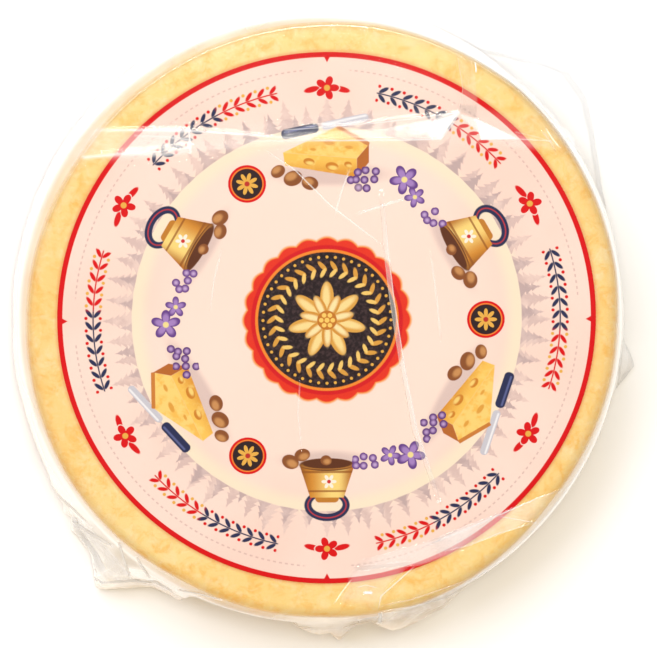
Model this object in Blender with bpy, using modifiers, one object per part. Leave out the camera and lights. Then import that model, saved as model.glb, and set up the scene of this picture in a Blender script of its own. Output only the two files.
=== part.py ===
"""A whole round of raclette cheese lying flat, with a paper label on its top face,
wrapped in clear film whose spare length is crumpled round its foot.

Metres, +Z up. The origin is the middle of the flat face that the round rests on.
"""

import math

import bpy

# Driving dimensions of the cheese, in metres. It is a little longer than wide
WHEEL_WIDTH = 0.308
WHEEL_LENGTH = 0.314
WHEEL_HEIGHT = 0.066
SHOULDER_RADIUS = 0.008
SIDE_BULGE_RADIUS = 0.130
LENGTHENING = WHEEL_LENGTH / WHEEL_WIDTH

# The paper label, laid a little off the middle of the top face
LABEL_DIAMETER = 0.270
LABEL_THICKNESS = 0.0004
LABEL_OFFSET_X = 0.003
LABEL_OFFSET_Y = 0.0029

# The film, which clings to the top and hangs loose round the side. Its hem lies
# against the lower shoulder, this many degrees below the level of the shoulder's arc
FILM_THICKNESS = 0.0004
FILM_OFF_TOP = 0.0011
FILM_OFF_SIDE = 0.0012
FILM_HEM_ANGLE = 48.0

TOUCHING_GAP = 0.0003
MERGE_DISTANCE = 0.00001

# Where spare film stands away from the side: the direction seen from above in
# degrees from +X, half the width in degrees, and how far the hem reaches out
FILM_FLARES = (
    (198.0, 17.0, 0.009),
    (222.0, 11.0, 0.017),
    (232.0, 11.0, 0.026),
    (244.0, 9.0, 0.012),
    (273.0, 8.0, 0.020),
    (284.0, 8.0, 0.021),
    (306.0, 16.0, 0.006),
    (336.0, 10.0, 0.011),
    (348.0, 11.0, 0.019),
    (24.0, 13.0, 0.016),
    (40.0, 15.0, 0.036),
    (100.0, 30.0, 0.002),
)
FLARE_CURVE = 1.15
PLEATS_ROUND = 40
PLEAT_DEPTH = 0.10

# How finely each piece is divided
WHEEL_STEPS = 72
LABEL_STEPS = 72
FILM_STEPS = 120
SHOULDER_STEPS = 4
SIDE_STEPS = 5

CHEESE_COLOUR = (0.93, 0.62, 0.22, 1.0)
PAPER_COLOUR = (0.95, 0.74, 0.66, 1.0)
FILM_COLOUR = (0.90, 0.88, 0.82, 1.0)

COLLECTION_NAME = "raclette_cheese_wheel"


def clear_scene():
    """Empties the scene that the script is run in."""
    for thing in list(bpy.data.objects):
        bpy.data.objects.remove(thing, do_unlink=True)


def make_material(name, colour, roughness, alpha=1.0):
    """A plain material for one sub-part."""
    material = bpy.data.materials.new(name)
    material.use_nodes = True
    shader = material.node_tree.nodes["Principled BSDF"]
    shader.inputs["Base Color"].default_value = colour
    shader.inputs["Roughness"].default_value = roughness
    shader.inputs["Metallic"].default_value = 0.0
    shader.inputs["Alpha"].default_value = alpha
    return material


def arc(centre_r, centre_z, radius, first_angle, last_angle, steps):
    """Points of an arc in the (r, z) plane, both ends included, angles in degrees."""
    points = []
    for step in range(steps + 1):
        angle = math.radians(first_angle + (last_angle - first_angle) * step / steps)
        points.append((centre_r + radius * math.cos(angle), centre_z + radius * math.sin(angle)))
    return points


def wheel_outline(grow_side=0.0, grow_top=0.0, last_angle=-90.0):
    """The outline from the edge of the flat top, down the bulged side, to last_angle.

    The shoulders are arcs that run smoothly into the long arc of the side. The outline
    can be grown outwards, for what is wrapped round the cheese.
    """
    half_width = WHEEL_WIDTH / 2
    half_height = WHEEL_HEIGHT / 2
    bulge_centre = half_width - SIDE_BULGE_RADIUS
    shoulder_rise = half_height - SHOULDER_RADIUS
    reach = SIDE_BULGE_RADIUS - SHOULDER_RADIUS
    shoulder_run = math.sqrt(reach**2 - shoulder_rise**2)
    shoulder_centre = bulge_centre + shoulder_run
    meeting_angle = math.degrees(math.atan2(shoulder_rise, shoulder_run))
    radius = SHOULDER_RADIUS + grow_side
    top_z = half_height + shoulder_rise + grow_top - grow_side
    low_z = half_height - shoulder_rise
    top = arc(shoulder_centre, top_z, radius, 90.0, meeting_angle, SHOULDER_STEPS)
    side = arc(
        bulge_centre, half_height, SIDE_BULGE_RADIUS + grow_side,
        meeting_angle, -meeting_angle, SIDE_STEPS,
    )
    low = arc(shoulder_centre, low_z, radius, -meeting_angle, last_angle, SHOULDER_STEPS)
    return top + side[1:-1] + low


def turned(name, outline, steps, collection):
    """An outline of (r, z) points, top to bottom, turned once round the Z axis."""
    mesh = bpy.data.meshes.new(name + "_outline")
    edges = [(index, index + 1) for index in range(len(outline) - 1)]
    mesh.from_pydata([(r, 0.0, z) for r, z in outline], edges, [])
    thing = bpy.data.objects.new(name, mesh)
    collection.objects.link(thing)
    screw = thing.modifiers.new("turn", "SCREW")
    screw.axis = "Z"
    screw.angle = math.tau
    screw.steps = steps
    screw.render_steps = steps
    screw.use_merge_vertices = True
    screw.merge_threshold = MERGE_DISTANCE
    screw.use_smooth_shade = True
    return thing


def apply_modifiers(thing):
    """Replaces an object's mesh by the mesh that its modifiers make."""
    bpy.context.view_layer.update()
    evaluated = thing.evaluated_get(bpy.context.evaluated_depsgraph_get())
    finished = bpy.data.meshes.new_from_object(evaluated)
    thing.modifiers.clear()
    thing.data = finished


def make_cheese(collection):
    """The cheese: flat above and below, bulged at the side, a little longer than wide."""
    outline = [(0.0, WHEEL_HEIGHT)] + wheel_outline() + [(0.0, 0.0)]
    cheese = turned("cheese_wheel", outline, WHEEL_STEPS, collection)
    cheese.data.materials.append(make_material("cheese_rind", CHEESE_COLOUR, 0.45))
    cheese.scale = (1.0, LENGTHENING, 1.0)
    return cheese


def make_label(collection):
    """The round paper label on the top face."""
    bpy.ops.mesh.primitive_cylinder_add(
        vertices=LABEL_STEPS,
        radius=LABEL_DIAMETER / 2,
        depth=LABEL_THICKNESS,
        location=(
            LABEL_OFFSET_X,
            LABEL_OFFSET_Y,
            WHEEL_HEIGHT + TOUCHING_GAP + LABEL_THICKNESS / 2,
        ),
    )
    label = bpy.context.active_object
    label.name = "label"
    label.data.name = "label"
    label.data.materials.append(make_material("label_paper", PAPER_COLOUR, 0.6))
    for owner in list(label.users_collection):
        owner.objects.unlink(label)
    collection.objects.link(label)
    return label


def flare_at(direction):
    """How far spare film stands out at the floor, seen in this direction in degrees."""
    reach = 0.0
    for middle, half_width, out in FILM_FLARES:
        away = abs((direction - middle + 180.0) % 360.0 - 180.0)
        if away < half_width:
            reach = max(reach, out * math.cos(away / half_width * math.pi / 2) ** 1.3)
    pleat = 1.0 + PLEAT_DEPTH * math.cos(math.radians(PLEATS_ROUND * direction))
    return reach * pleat


def make_film(collection):
    """The clear film: a thin skin over top and side, open under the cheese.

    It is turned first, then its skirt is drawn outwards wherever spare film stands
    away from the cheese, most at the hem and not at all at the shoulder.
    """
    hem = wheel_outline(FILM_OFF_SIDE, FILM_OFF_TOP, -FILM_HEM_ANGLE)
    outline = [(0.0, WHEEL_HEIGHT + FILM_OFF_TOP)] + hem
    film = turned("film_wrap", outline, FILM_STEPS, collection)
    apply_modifiers(film)
    shoulder_z = WHEEL_HEIGHT - SHOULDER_RADIUS
    hem_z = hem[-1][1]
    for vertex in film.data.vertices:
        x, y, z = vertex.co
        radius = math.hypot(x, y)
        drop = max(0.0, (shoulder_z - z) / (shoulder_z - hem_z))
        out = flare_at(math.degrees(math.atan2(y, x))) * drop**FLARE_CURVE
        spread = 1.0 + out / max(radius, WHEEL_WIDTH / 4)
        vertex.co = (x * spread, y * spread * LENGTHENING, z)
    film.data.materials.append(make_material("clear_film", FILM_COLOUR, 0.15, 0.3))
    skin = film.modifiers.new("thickness", "SOLIDIFY")
    skin.thickness = FILM_THICKNESS
    skin.offset = 1.0
    skin.use_even_offset = True
    return film


def main():
    """Builds the whole object in its own collection."""
    clear_scene()
    collection = bpy.data.collections.new(COLLECTION_NAME)
    bpy.context.scene.collection.children.link(collection)
    make_cheese(collection)
    make_label(collection)
    make_film(collection)


main()
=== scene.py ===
# %% [markdown]
# # A raclette cheese wheel in clear film
#
# This lesson dresses a whole round of raclette cheese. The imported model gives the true
# sizes: a round of cheese lying flat, a paper label on its top face and a clear film
# round both. Each of the three is built again here with a finer surface, and gets a
# material made of nodes.

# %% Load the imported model
import math
from types import SimpleNamespace

import bpy
import numpy as np
from mathutils import Matrix, Vector


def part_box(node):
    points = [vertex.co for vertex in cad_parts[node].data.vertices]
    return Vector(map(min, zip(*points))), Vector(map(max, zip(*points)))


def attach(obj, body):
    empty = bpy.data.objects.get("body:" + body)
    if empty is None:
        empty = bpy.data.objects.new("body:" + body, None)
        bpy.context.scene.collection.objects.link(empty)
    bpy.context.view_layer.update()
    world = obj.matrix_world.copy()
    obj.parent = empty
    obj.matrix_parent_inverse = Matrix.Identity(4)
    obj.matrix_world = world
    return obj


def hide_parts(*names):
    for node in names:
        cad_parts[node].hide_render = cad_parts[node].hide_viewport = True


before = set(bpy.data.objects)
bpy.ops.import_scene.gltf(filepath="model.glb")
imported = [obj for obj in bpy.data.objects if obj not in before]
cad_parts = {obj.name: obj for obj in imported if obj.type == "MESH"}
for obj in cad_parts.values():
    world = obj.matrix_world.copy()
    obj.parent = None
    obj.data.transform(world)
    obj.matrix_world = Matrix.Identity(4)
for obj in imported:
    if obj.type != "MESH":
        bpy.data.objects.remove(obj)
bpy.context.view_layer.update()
print("packed nodes:", sorted(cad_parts))

# %% [markdown]
# ## Sizes
#
# All lengths are metres. The cheese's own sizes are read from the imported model, so that
# nothing here can drift away from it. The photograph looks down from the top side of
# the label, about ten degrees off the vertical, from far away through a long lens.

# %% Sizes of the cheese and its label
MM = 0.001
cheese_low, cheese_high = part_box("cheese_wheel")
label_low, label_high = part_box("label")
HALF_WIDTH = (cheese_high[0] - cheese_low[0]) / 2
HALF_LENGTH = (cheese_high[1] - cheese_low[1]) / 2
LENGTHENING = HALF_LENGTH / HALF_WIDTH
HEIGHT = cheese_high[2] - cheese_low[2]
SHOULDER_RADIUS = 8 * MM
BULGE_RADIUS = 130 * MM
PAPER_SPARE = 0.5 * MM
LABEL_RADIUS = (label_high[0] - label_low[0]) / 2 + PAPER_SPARE
LABEL_MIDDLE = ((label_low[0] + label_high[0]) / 2, (label_low[1] + label_high[1]) / 2)
print("cheese", round(HALF_WIDTH * 2, 4), round(HALF_LENGTH * 2, 4), round(HEIGHT, 4))

# %% [markdown]
# ## Camera
#
# The camera's tilt and distance come from the label: how round it looks, and how much
# larger its near edge is. One picture element on the top face is half a millimetre.
# The lens then follows from the distance, and the aim from where the middle shows.

# %% Camera
PICTURE_WIDTH = 657
PICTURE_HEIGHT = 648
CAMERA_TILT = math.radians(9.8)
CAMERA_SIDE = math.radians(99.8)
CAMERA_DISTANCE = 2.48
PIXEL = 0.503 * MM
MIDDLE_SHOWS_AT = (321.0, 325.7)
SENSOR = 36.0


def place_camera():
    """A camera above the round, turned so that the photograph's top is +Y."""
    top_middle = Vector((0, 0, HEIGHT))
    sideways = Vector((math.cos(CAMERA_SIDE), math.sin(CAMERA_SIDE), 0))
    back = sideways * math.sin(CAMERA_TILT) + Vector((0, 0, math.cos(CAMERA_TILT)))
    right = Vector((0, 1, 0)).cross(back).normalized()
    up = back.cross(right)
    left_by = (PICTURE_WIDTH / 2 - MIDDLE_SHOWS_AT[0]) * PIXEL
    down_by = (MIDDLE_SHOWS_AT[1] - PICTURE_HEIGHT / 2) * PIXEL
    aim = top_middle + right * left_by + up * down_by
    data = bpy.data.cameras.new("camera")
    data.sensor_width = SENSOR
    data.lens = SENSOR * CAMERA_DISTANCE / (PICTURE_WIDTH * PIXEL)
    data.clip_start = 0.1
    data.clip_end = 20
    camera = bpy.data.objects.new("camera", data)
    turn = Matrix((right, up, back)).transposed().to_4x4()
    camera.matrix_world = Matrix.Translation(aim + back * CAMERA_DISTANCE) @ turn
    bpy.context.scene.collection.objects.link(camera)
    bpy.context.scene.camera = camera
    return camera


camera = place_camera()
print("lens", round(camera.data.lens, 1), "mm")

# %% [markdown]
# The folds of the film have to lie where the photograph shows them. So a helper runs a
# ray from the camera through a place of the picture, and says where the ray meets a
# level plane. It works on whole rows of places at once.

# %% From a place in the picture to a place in the scene
def shown_at(across, down, height):
    """Points at a height above the floor that show at these places of the photograph."""
    across, down, height = np.broadcast_arrays(across, down, height)
    start = np.array(camera.matrix_world.translation)
    turn = np.array(camera.matrix_world.to_3x3())
    ray = np.stack((
        (across - PICTURE_WIDTH / 2) * PIXEL,
        (PICTURE_HEIGHT / 2 - down) * PIXEL,
        np.full(across.shape, -CAMERA_DISTANCE),
    ), axis=-1) @ turn.T
    reach = (height - start[2]) / ray[..., 2]
    return start + ray * reach[..., None]


print("the picture's middle shows", shown_at(PICTURE_WIDTH / 2, PICTURE_HEIGHT / 2, 0).round(3))

# %% [markdown]
# ## Studio
#
# The photograph has a white sweep and soft light from beyond the top of the picture. One
# large light would do for the shapes, but the tones ask for more: a broad cool light
# gives the short shadow under the near rim, a narrow warm one nearly overhead lights the
# top, and a small one fills in from the right.

# %% Lights
LIGHT_DISTANCE = 3.2
LIGHTS = (
    # name, size in metres, power in watts, colour, side and lean in degrees
    ("broad_light", (2.4, 1.35), 90, (0.94, 0.995, 1.135), (121, 31)),
    ("narrow_light", (0.5, 1.25), 64, (1.07, 1.0, 0.83), (84, 8.5)),
    ("right_light", (1.0, 1.0), 20, (1.0, 1.0, 1.0), (40, 40)),
)


def add_light(name, size, power, colour, direction):
    """A soft light that faces the object."""
    side, lean = (math.radians(angle) for angle in direction)
    way = Vector((
        math.cos(side) * math.sin(lean), math.sin(side) * math.sin(lean), math.cos(lean)
    ))
    data = bpy.data.lights.new(name, "AREA")
    data.shape = "RECTANGLE"
    data.size, data.size_y = size
    data.energy = power
    data.color = colour
    light = bpy.data.objects.new(name, data)
    light.location = way * LIGHT_DISTANCE + Vector((0, 0, HEIGHT / 2))
    light.rotation_euler = way.to_track_quat("Z", "Y").to_euler()
    bpy.context.scene.collection.objects.link(light)
    return light


for row in LIGHTS:
    light = add_light(*row)
    print(light.name, "stands at", [round(length, 2) for length in light.location])

# %% [markdown]
# Clear film mirrors whatever stands round it, so the surroundings are part of its looks.
# They could be a picture of a studio. Plain walls are enough here: pale and cool, warmer
# on the near side, where they light the shadow, with a dark ceiling that keeps the film
# over the label clear.

# %% Walls and ceiling
COOL_WALL = (0.82, 0.86, 0.92, 1)
WARM_WALL = (2.1, 1.2, 0.25, 1)
WARM_SIDE = (-0.5, -0.87, 0)
WARM_SPAN = (0.15, 0.85)
CEILING_SPAN = (0.97, 0.85)
CEILING_LIGHT = 0.03
WALL_LIGHT = 0.51


def ramp_node(nodes, span, ends):
    """A node that turns one span of values into another."""
    ramp = nodes.new("ShaderNodeMapRange")
    names = ("From Min", "From Max", "To Min", "To Max")
    for name, value in zip(names, (*span, *ends)):
        ramp.inputs[name].default_value = value
    return ramp


def light_surroundings():
    """Pale walls all round, warmer on the near side, and a dark ceiling."""
    world = bpy.data.worlds.new("studio")
    bpy.context.scene.world = world
    world.use_nodes = True
    nodes = world.node_tree.nodes
    links = world.node_tree.links
    way = nodes.new("ShaderNodeTexCoord")
    parts = nodes.new("ShaderNodeSeparateXYZ")
    strength = ramp_node(nodes, CEILING_SPAN, (CEILING_LIGHT, WALL_LIGHT))
    toward = nodes.new("ShaderNodeVectorMath")
    toward.operation = "DOT_PRODUCT"
    toward.inputs[1].default_value = WARM_SIDE
    warmth = ramp_node(nodes, WARM_SPAN, (0, 1))
    colour = nodes.new("ShaderNodeMix")
    colour.data_type = "RGBA"
    colour.inputs[6].default_value = COOL_WALL
    colour.inputs[7].default_value = WARM_WALL
    links.new(way.outputs["Generated"], parts.inputs[0])
    links.new(parts.outputs["Z"], strength.inputs["Value"])
    links.new(way.outputs["Generated"], toward.inputs[0])
    links.new(toward.outputs["Value"], warmth.inputs["Value"])
    links.new(warmth.outputs[0], colour.inputs[0])
    links.new(strength.outputs[0], nodes["Background"].inputs["Strength"])
    links.new(colour.outputs[2], nodes["Background"].inputs["Color"])
    return world


surroundings = light_surroundings()
bpy.context.scene.view_settings.view_transform = "Standard"
print("nodes in the surroundings:", len(surroundings.node_tree.nodes))

# %% [markdown]
# ## Shader arithmetic
#
# A pattern that varies over a surface is a chain of nodes. Wired by hand such a chain is
# hard to read, so one small class wraps a node's output: plus, minus and times on it add
# Math nodes, and every other node comes from one method that takes its kind, its
# settings and the values or links of its sockets.

# %% A class for values that vary over a surface
class Field:
    """The output of a node. Arithmetic on it adds Math nodes to the same material."""

    def __init__(self, finish, socket):
        self.finish = finish
        self.socket = socket

    def math(self, operation, *others):
        """A Math node on this value and the others."""
        values = dict(enumerate((self, *others)))
        return self.finish.node("ShaderNodeMath", {"operation": operation}, values)

    def vector(self, operation, *others):
        """A Vector Math node on this value and the others."""
        values = dict(enumerate((self, *others)))
        result = "Value" if operation in ("LENGTH", "DOT_PRODUCT") else "Vector"
        return self.finish.node("ShaderNodeVectorMath", {"operation": operation}, values, result)

    def __add__(self, other):
        return self.math("ADD", other)

    def __sub__(self, other):
        return self.math("SUBTRACT", other)

    def __rsub__(self, other):
        return self.math("MULTIPLY_ADD", -1.0, other)

    def __mul__(self, other):
        return self.math("MULTIPLY", other)

    def __truediv__(self, other):
        return self.math("DIVIDE", other)

    def __abs__(self):
        return self.math("ABSOLUTE")

    __radd__ = __add__
    __rmul__ = __mul__

    def rise(self, start, end):
        """0 up to start, 1 from end on, and straight between."""
        values = {"Value": self, "From Min": start, "From Max": end}
        return self.finish.node("ShaderNodeMapRange", {}, values)

    def step(self, start, end):
        """Like rise, but with a smooth start and end."""
        settings = {"interpolation_type": "SMOOTHSTEP", "clamp": False}
        values = {"Value": self, "From Min": start, "From Max": end}
        return self.finish.node("ShaderNodeMapRange", settings, values)

    def part(self, axis):
        """One component of a vector."""
        way = {"X": (1, 0, 0), "Y": (0, 1, 0), "Z": (0, 0, 1)}[axis]
        return self.vector("DOT_PRODUCT", way)


# %% [markdown]
# The second class is one material. Its methods make the nodes, so that a finish reads as
# a short list of patterns and colours. Coordinates are always the object's own, because
# those stay with the piece wherever it goes.

# %% A class for a material
class Finish:
    """A material, with the shader that its patterns feed."""

    def __init__(self, name):
        self.material = bpy.data.materials.new(name)
        self.material.use_nodes = True
        self.nodes = self.material.node_tree.nodes
        self.links = self.material.node_tree.links
        self.shader = self.nodes["Principled BSDF"]
        self.output = self.nodes["Material Output"]

    def feed(self, socket, value):
        """Links a field to a socket, or sets the socket to a plain value."""
        if isinstance(value, Field):
            self.links.new(value.socket, socket)
        else:
            socket.default_value = value

    def node(self, kind, settings=None, values=None, result=0):
        """A new node: settings first, then its sockets. Returns one of its outputs."""
        made = self.nodes.new(kind)
        for name, value in (settings or {}).items():
            setattr(made, name, value)
        for name, value in (values or {}).items():
            self.feed(made.inputs[name], value)
        return Field(self, made.outputs[result])

    def spot(self):
        """Object coordinates, in metres."""
        return self.node("ShaderNodeTexCoord", result="Object")

    def clouds(self, size, detail=3.0, roughness=0.5, distortion=0.0):
        """Soft noise from 0 to 1 whose blotches are about size across."""
        values = {
            "Vector": self.spot(), "Scale": 1 / size, "Detail": detail,
            "Roughness": roughness, "Distortion": distortion,
        }
        return self.node("ShaderNodeTexNoise", {}, values, "Fac")

    def over(self, below, above, share):
        """One colour laid over another."""
        values = {0: share, 6: below, 7: above}
        return self.node("ShaderNodeMix", {"data_type": "RGBA"}, values, 2)

    def bump(self, height, strength, distance):
        """A Normal from a height pattern."""
        values = {"Height": height, "Strength": strength, "Distance": distance}
        return self.node("ShaderNodeBump", {}, values)

    def set(self, **values):
        """Sets or links sockets of the main shader, by name with _ for a space."""
        for name, value in values.items():
            self.feed(self.shader.inputs[name.replace("_", " ")], value)
        return self.material


# %% [markdown]
# Colours are written as they look in the photograph, from 0 to 255. A shader wants
# linear light, and paint that is lit by this studio shows brighter than it is, so the
# helper turns one into the other.

# %% A helper for colours
STUDIO_LIGHT = 1.73


def seen(red, green, blue):
    """The paint that shows as this colour in the studio's light."""
    paint = []
    for level in (red, green, blue):
        share = level / 255
        linear = share / 12.92 if share <= 0.04045 else ((share + 0.055) / 1.055) ** 2.4
        paint.append(min(linear / STUDIO_LIGHT, 1.0))
    return (*paint, 1.0)


print("paint that shows as white:", [round(level, 3) for level in seen(255, 255, 255)])

# %% [markdown]
# ## Working on meshes
#
# Operators act on whatever is selected, and loading the model left its nodes selected,
# so each piece starts from a clean selection. A finished piece keeps its place in its
# mesh, with its object at the origin.

# %% Helpers for selecting
def deselect():
    """Nothing selected and object mode."""
    if bpy.context.object and bpy.context.object.mode != "OBJECT":
        bpy.ops.object.mode_set(mode="OBJECT")
    bpy.ops.object.select_all(action="DESELECT")


def pick(piece, *others):
    """Only these objects selected, the first one active."""
    deselect()
    for thing in (piece, *others):
        thing.select_set(True)
    bpy.context.view_layer.objects.active = piece


# %% [markdown]
# A mesh keeps its points as one long row of numbers. Read as an array, they can all be
# moved by one rule at once, which is how the uneven shapes here are made.

# %% Helpers for points
def points_of(piece):
    """The piece's vertices as an array of rows."""
    flat = np.empty(len(piece.data.vertices) * 3)
    piece.data.vertices.foreach_get("co", flat)
    return flat.reshape(-1, 3)


def set_points(piece, points):
    """Moves the piece's vertices to these rows."""
    piece.data.vertices.foreach_set("co", np.ascontiguousarray(points).ravel())
    piece.data.update()


# %% [markdown]
# Every finished piece goes through one helper. It applies what is still live, gives the
# piece its name and its finish, and tells the frame which body the piece rides on and
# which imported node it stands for.

# %% A helper that finishes a piece
def finish_piece(piece, name, finish, node=None):
    """Names a piece, bakes its place into its mesh and tells the frame about it."""
    pick(piece)
    for modifier in list(piece.modifiers):
        bpy.ops.object.modifier_apply(modifier=modifier.name)
    bpy.ops.object.transform_apply(location=True, rotation=True, scale=True)
    piece.name = name
    piece.data.name = name
    piece.data.materials.clear()
    piece.data.materials.append(finish)
    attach(piece, "root")
    if node:
        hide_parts(node)
    print(name, len(piece.data.vertices), "vertices")
    return piece


# %% [markdown]
# ## The section of the round
#
# Cut through the middle, the round shows a flat top, a shoulder, a side that bulges, a
# lower shoulder and a flat underside. Cheese and film share this section, and the film's
# is only grown a little. Both could be bevelled cylinders, but a section made of arcs
# gives the true bulge and as many steps as each stretch needs.

# %% The section
def outline(grow, shoulder, counts):
    """The section as (r, z) rows, from the middle of the top to the middle of the
    underside, grown outwards by grow.

    The counts are steps on the top, top shoulder, side, lower shoulder and underside.
    """
    half = HEIGHT / 2
    rise = half - shoulder
    run = math.sqrt((BULGE_RADIUS - shoulder) ** 2 - rise**2)
    bulge_middle = HALF_WIDTH - BULGE_RADIUS
    shoulder_middle = bulge_middle + run
    meet = math.atan2(rise, run)

    def arc(middle, z, radius, start, end, count):
        """Rows along an arc about a middle, both ends included."""
        angles = np.linspace(start, end, count + 1)
        return np.column_stack((middle + radius * np.cos(angles), z + radius * np.sin(angles)))

    top, bend, side, low_bend, under = counts
    upper = arc(shoulder_middle, half + rise, shoulder + grow, math.pi / 2, meet, bend)
    wall = arc(bulge_middle, half, BULGE_RADIUS + grow, meet, -meet, side)
    lower = arc(shoulder_middle, half - rise, shoulder + grow, -meet, -math.pi / 2, low_bend)
    outwards = np.linspace(0, shoulder_middle, top + 1)
    inwards = np.linspace(shoulder_middle, 0, under + 1)
    first = np.column_stack((outwards, np.full(top + 1, upper[0, 1])))
    last = np.column_stack((inwards, np.full(under + 1, lower[-1, 1])))
    return np.vstack((first, upper[1:], wall[1:], lower[1:], last[1:]))


def top_swell(x, y):
    """How far the pressed top face is off flat, in metres."""
    broad = np.sin(x * 21 + 1.3) * np.cos(y * 17 + 0.4)
    fine = np.sin(x * 52 - y * 37 + 2.0)
    return (0.25 * broad + 0.10 * fine) * MM


# %% [markdown]
# A section becomes a round by rolling up a flat grid: its columns become directions, and
# its rows become rows of the section. Spinning the section would give the same shape,
# but here each point still knows its direction and its row, which later rules need.

# %% Helpers that turn a section
def turn_section(segments, section):
    """Rolls a flat grid into a closed round whose section runs from pole to pole.

    Returns the piece with each point's direction and its row of the section.
    """
    deselect()
    rings = len(section) - 1
    bpy.ops.mesh.primitive_grid_add(x_subdivisions=segments, y_subdivisions=rings, size=1)
    piece = bpy.context.object
    flat = points_of(piece)
    direction = (flat[:, 0] + 0.5) * math.tau
    ring = np.rint((0.5 - flat[:, 1]) * rings).astype(int)
    radius, z = section[ring].T
    set_points(piece, np.column_stack((radius * np.cos(direction), radius * np.sin(direction), z)))
    bpy.ops.object.shade_smooth()
    return piece, direction, ring


def close_round(piece):
    """Merges the points that meet at the seam and at the poles."""
    pick(piece)
    bpy.ops.object.mode_set(mode="EDIT")
    bpy.ops.mesh.select_all(action="SELECT")
    bpy.ops.mesh.remove_doubles(threshold=0.002 * MM)
    bpy.ops.object.mode_set(mode="OBJECT")


# %% [markdown]
# ## The edge of the round
#
# The top edge is never a true circle. Where the film was pulled tight the edge lies
# further in, and where it is loose it stands out, as a table of directions says. One
# rule moves cheese and film alike, so the cheese can't poke through the film.

# %% How far the edge is pushed out
EDGE_RADIUS = 148.0 * MM
PUSH_RADIUS = 130.0 * MM
SIDE_TOUCH = 57 * MM
EDGE_SHAPE = (
    # direction in degrees, how far the top edge lies beyond EDGE_RADIUS in mm
    (0, 0.1), (10, 1.5), (20, 2.0), (30, 2.6), (50, 4.2), (60, 3.0), (70, 2.4), (80, 1.8),
    (90, 0.7), (100, 0), (120, -0.8), (150, -2.0), (165, -1.3), (180, -1.3), (210, -0.6),
    (225, -1.2), (240, -2.6), (255, -1.8), (270, -1.8), (290, 0.6), (300, 0), (320, -1.8),
    (332, -1.4), (350, 0),
)


def by_direction(table, degrees):
    """Values of a table of (direction, value) all round."""
    directions, values = np.array(table, dtype=float).T
    return np.interp(degrees % 360, directions, values, period=360)


def edge_push(degrees, radius, z):
    """How far the surface is pushed out here, most at the edge itself."""
    push = by_direction(EDGE_SHAPE, degrees) * MM
    inside = np.clip((radius - PUSH_RADIUS) / (EDGE_RADIUS - PUSH_RADIUS), 0, 1)
    outside = np.clip((z - SIDE_TOUCH) / (HEIGHT - 1 * MM - SIDE_TOUCH), 0, 1)
    return push * np.where(radius < EDGE_RADIUS, inside, outside)


pushes = [push for direction, push in EDGE_SHAPE]
print("the edge is pushed from", min(pushes), "to", max(pushes), "mm")

# %% [markdown]
# ## The cheese
#
# A pressed round with soft shoulders. It could be a cylinder with a bevel, but its side
# bulges and its edge is never quite true. So a section is turned, and the surface is
# then pushed in and out a little, most at the shoulders.

# %% Model the cheese
FOOT_GAP = 0.5 * MM
CHEESE_SHOULDER = 9.5 * MM
CHEESE_SEGMENTS = 256
CHEESE_STEPS = (24, 12, 20, 8, 12)
EDGE_WOBBLE = 0.4 * MM
EDGE_DIP = 0.3 * MM


def make_cheese(finish):
    """The round of cheese, a little uneven."""
    section = outline(0.0, CHEESE_SHOULDER, CHEESE_STEPS)
    piece, direction, ring = turn_section(CHEESE_SEGMENTS, section)
    points = points_of(piece)
    x, y, z = points.T
    radius = np.hypot(x, y)
    share = np.clip(radius / HALF_WIDTH, 0, 1)
    wobble = 0.5 * np.sin(3 * direction + 1.0) + 0.35 * np.sin(5 * direction + 2.2)
    wobble += 0.25 * np.sin(11 * direction + z * 60)
    push = edge_push(np.degrees(direction) % 360, radius, z)
    out = 1 + (share**8 * wobble * EDGE_WOBBLE + push * share**4) / HALF_WIDTH
    upper = np.clip((z - HEIGHT / 2) / (HEIGHT / 2), 0, 1) ** 4
    dip = EDGE_DIP * share**10 * np.sin(4 * direction) ** 2
    z = z + upper * (top_swell(x, y) - dip)
    z = np.maximum(z, FOOT_GAP)
    set_points(piece, np.column_stack((x * out, y * out * LENGTHENING, z)))
    close_round(piece)
    return finish_piece(piece, "cheese", finish, "cheese_wheel")


# %% [markdown]
# The rind is pale gold and hardly mottled: a broad drift of tone, small deeper spots, and
# fine pits from the press cloth. A picture of rind would have to be wrapped round the
# side, while noise in the object's coordinates runs through it without a seam. The rind
# is a little damp under the film, so it shines softly.

# %% The rind's finish
# The width of the painted shadow on the rind beside the label.
PAPER_SHADOW_WIDTH = 2.2 * MM


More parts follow.
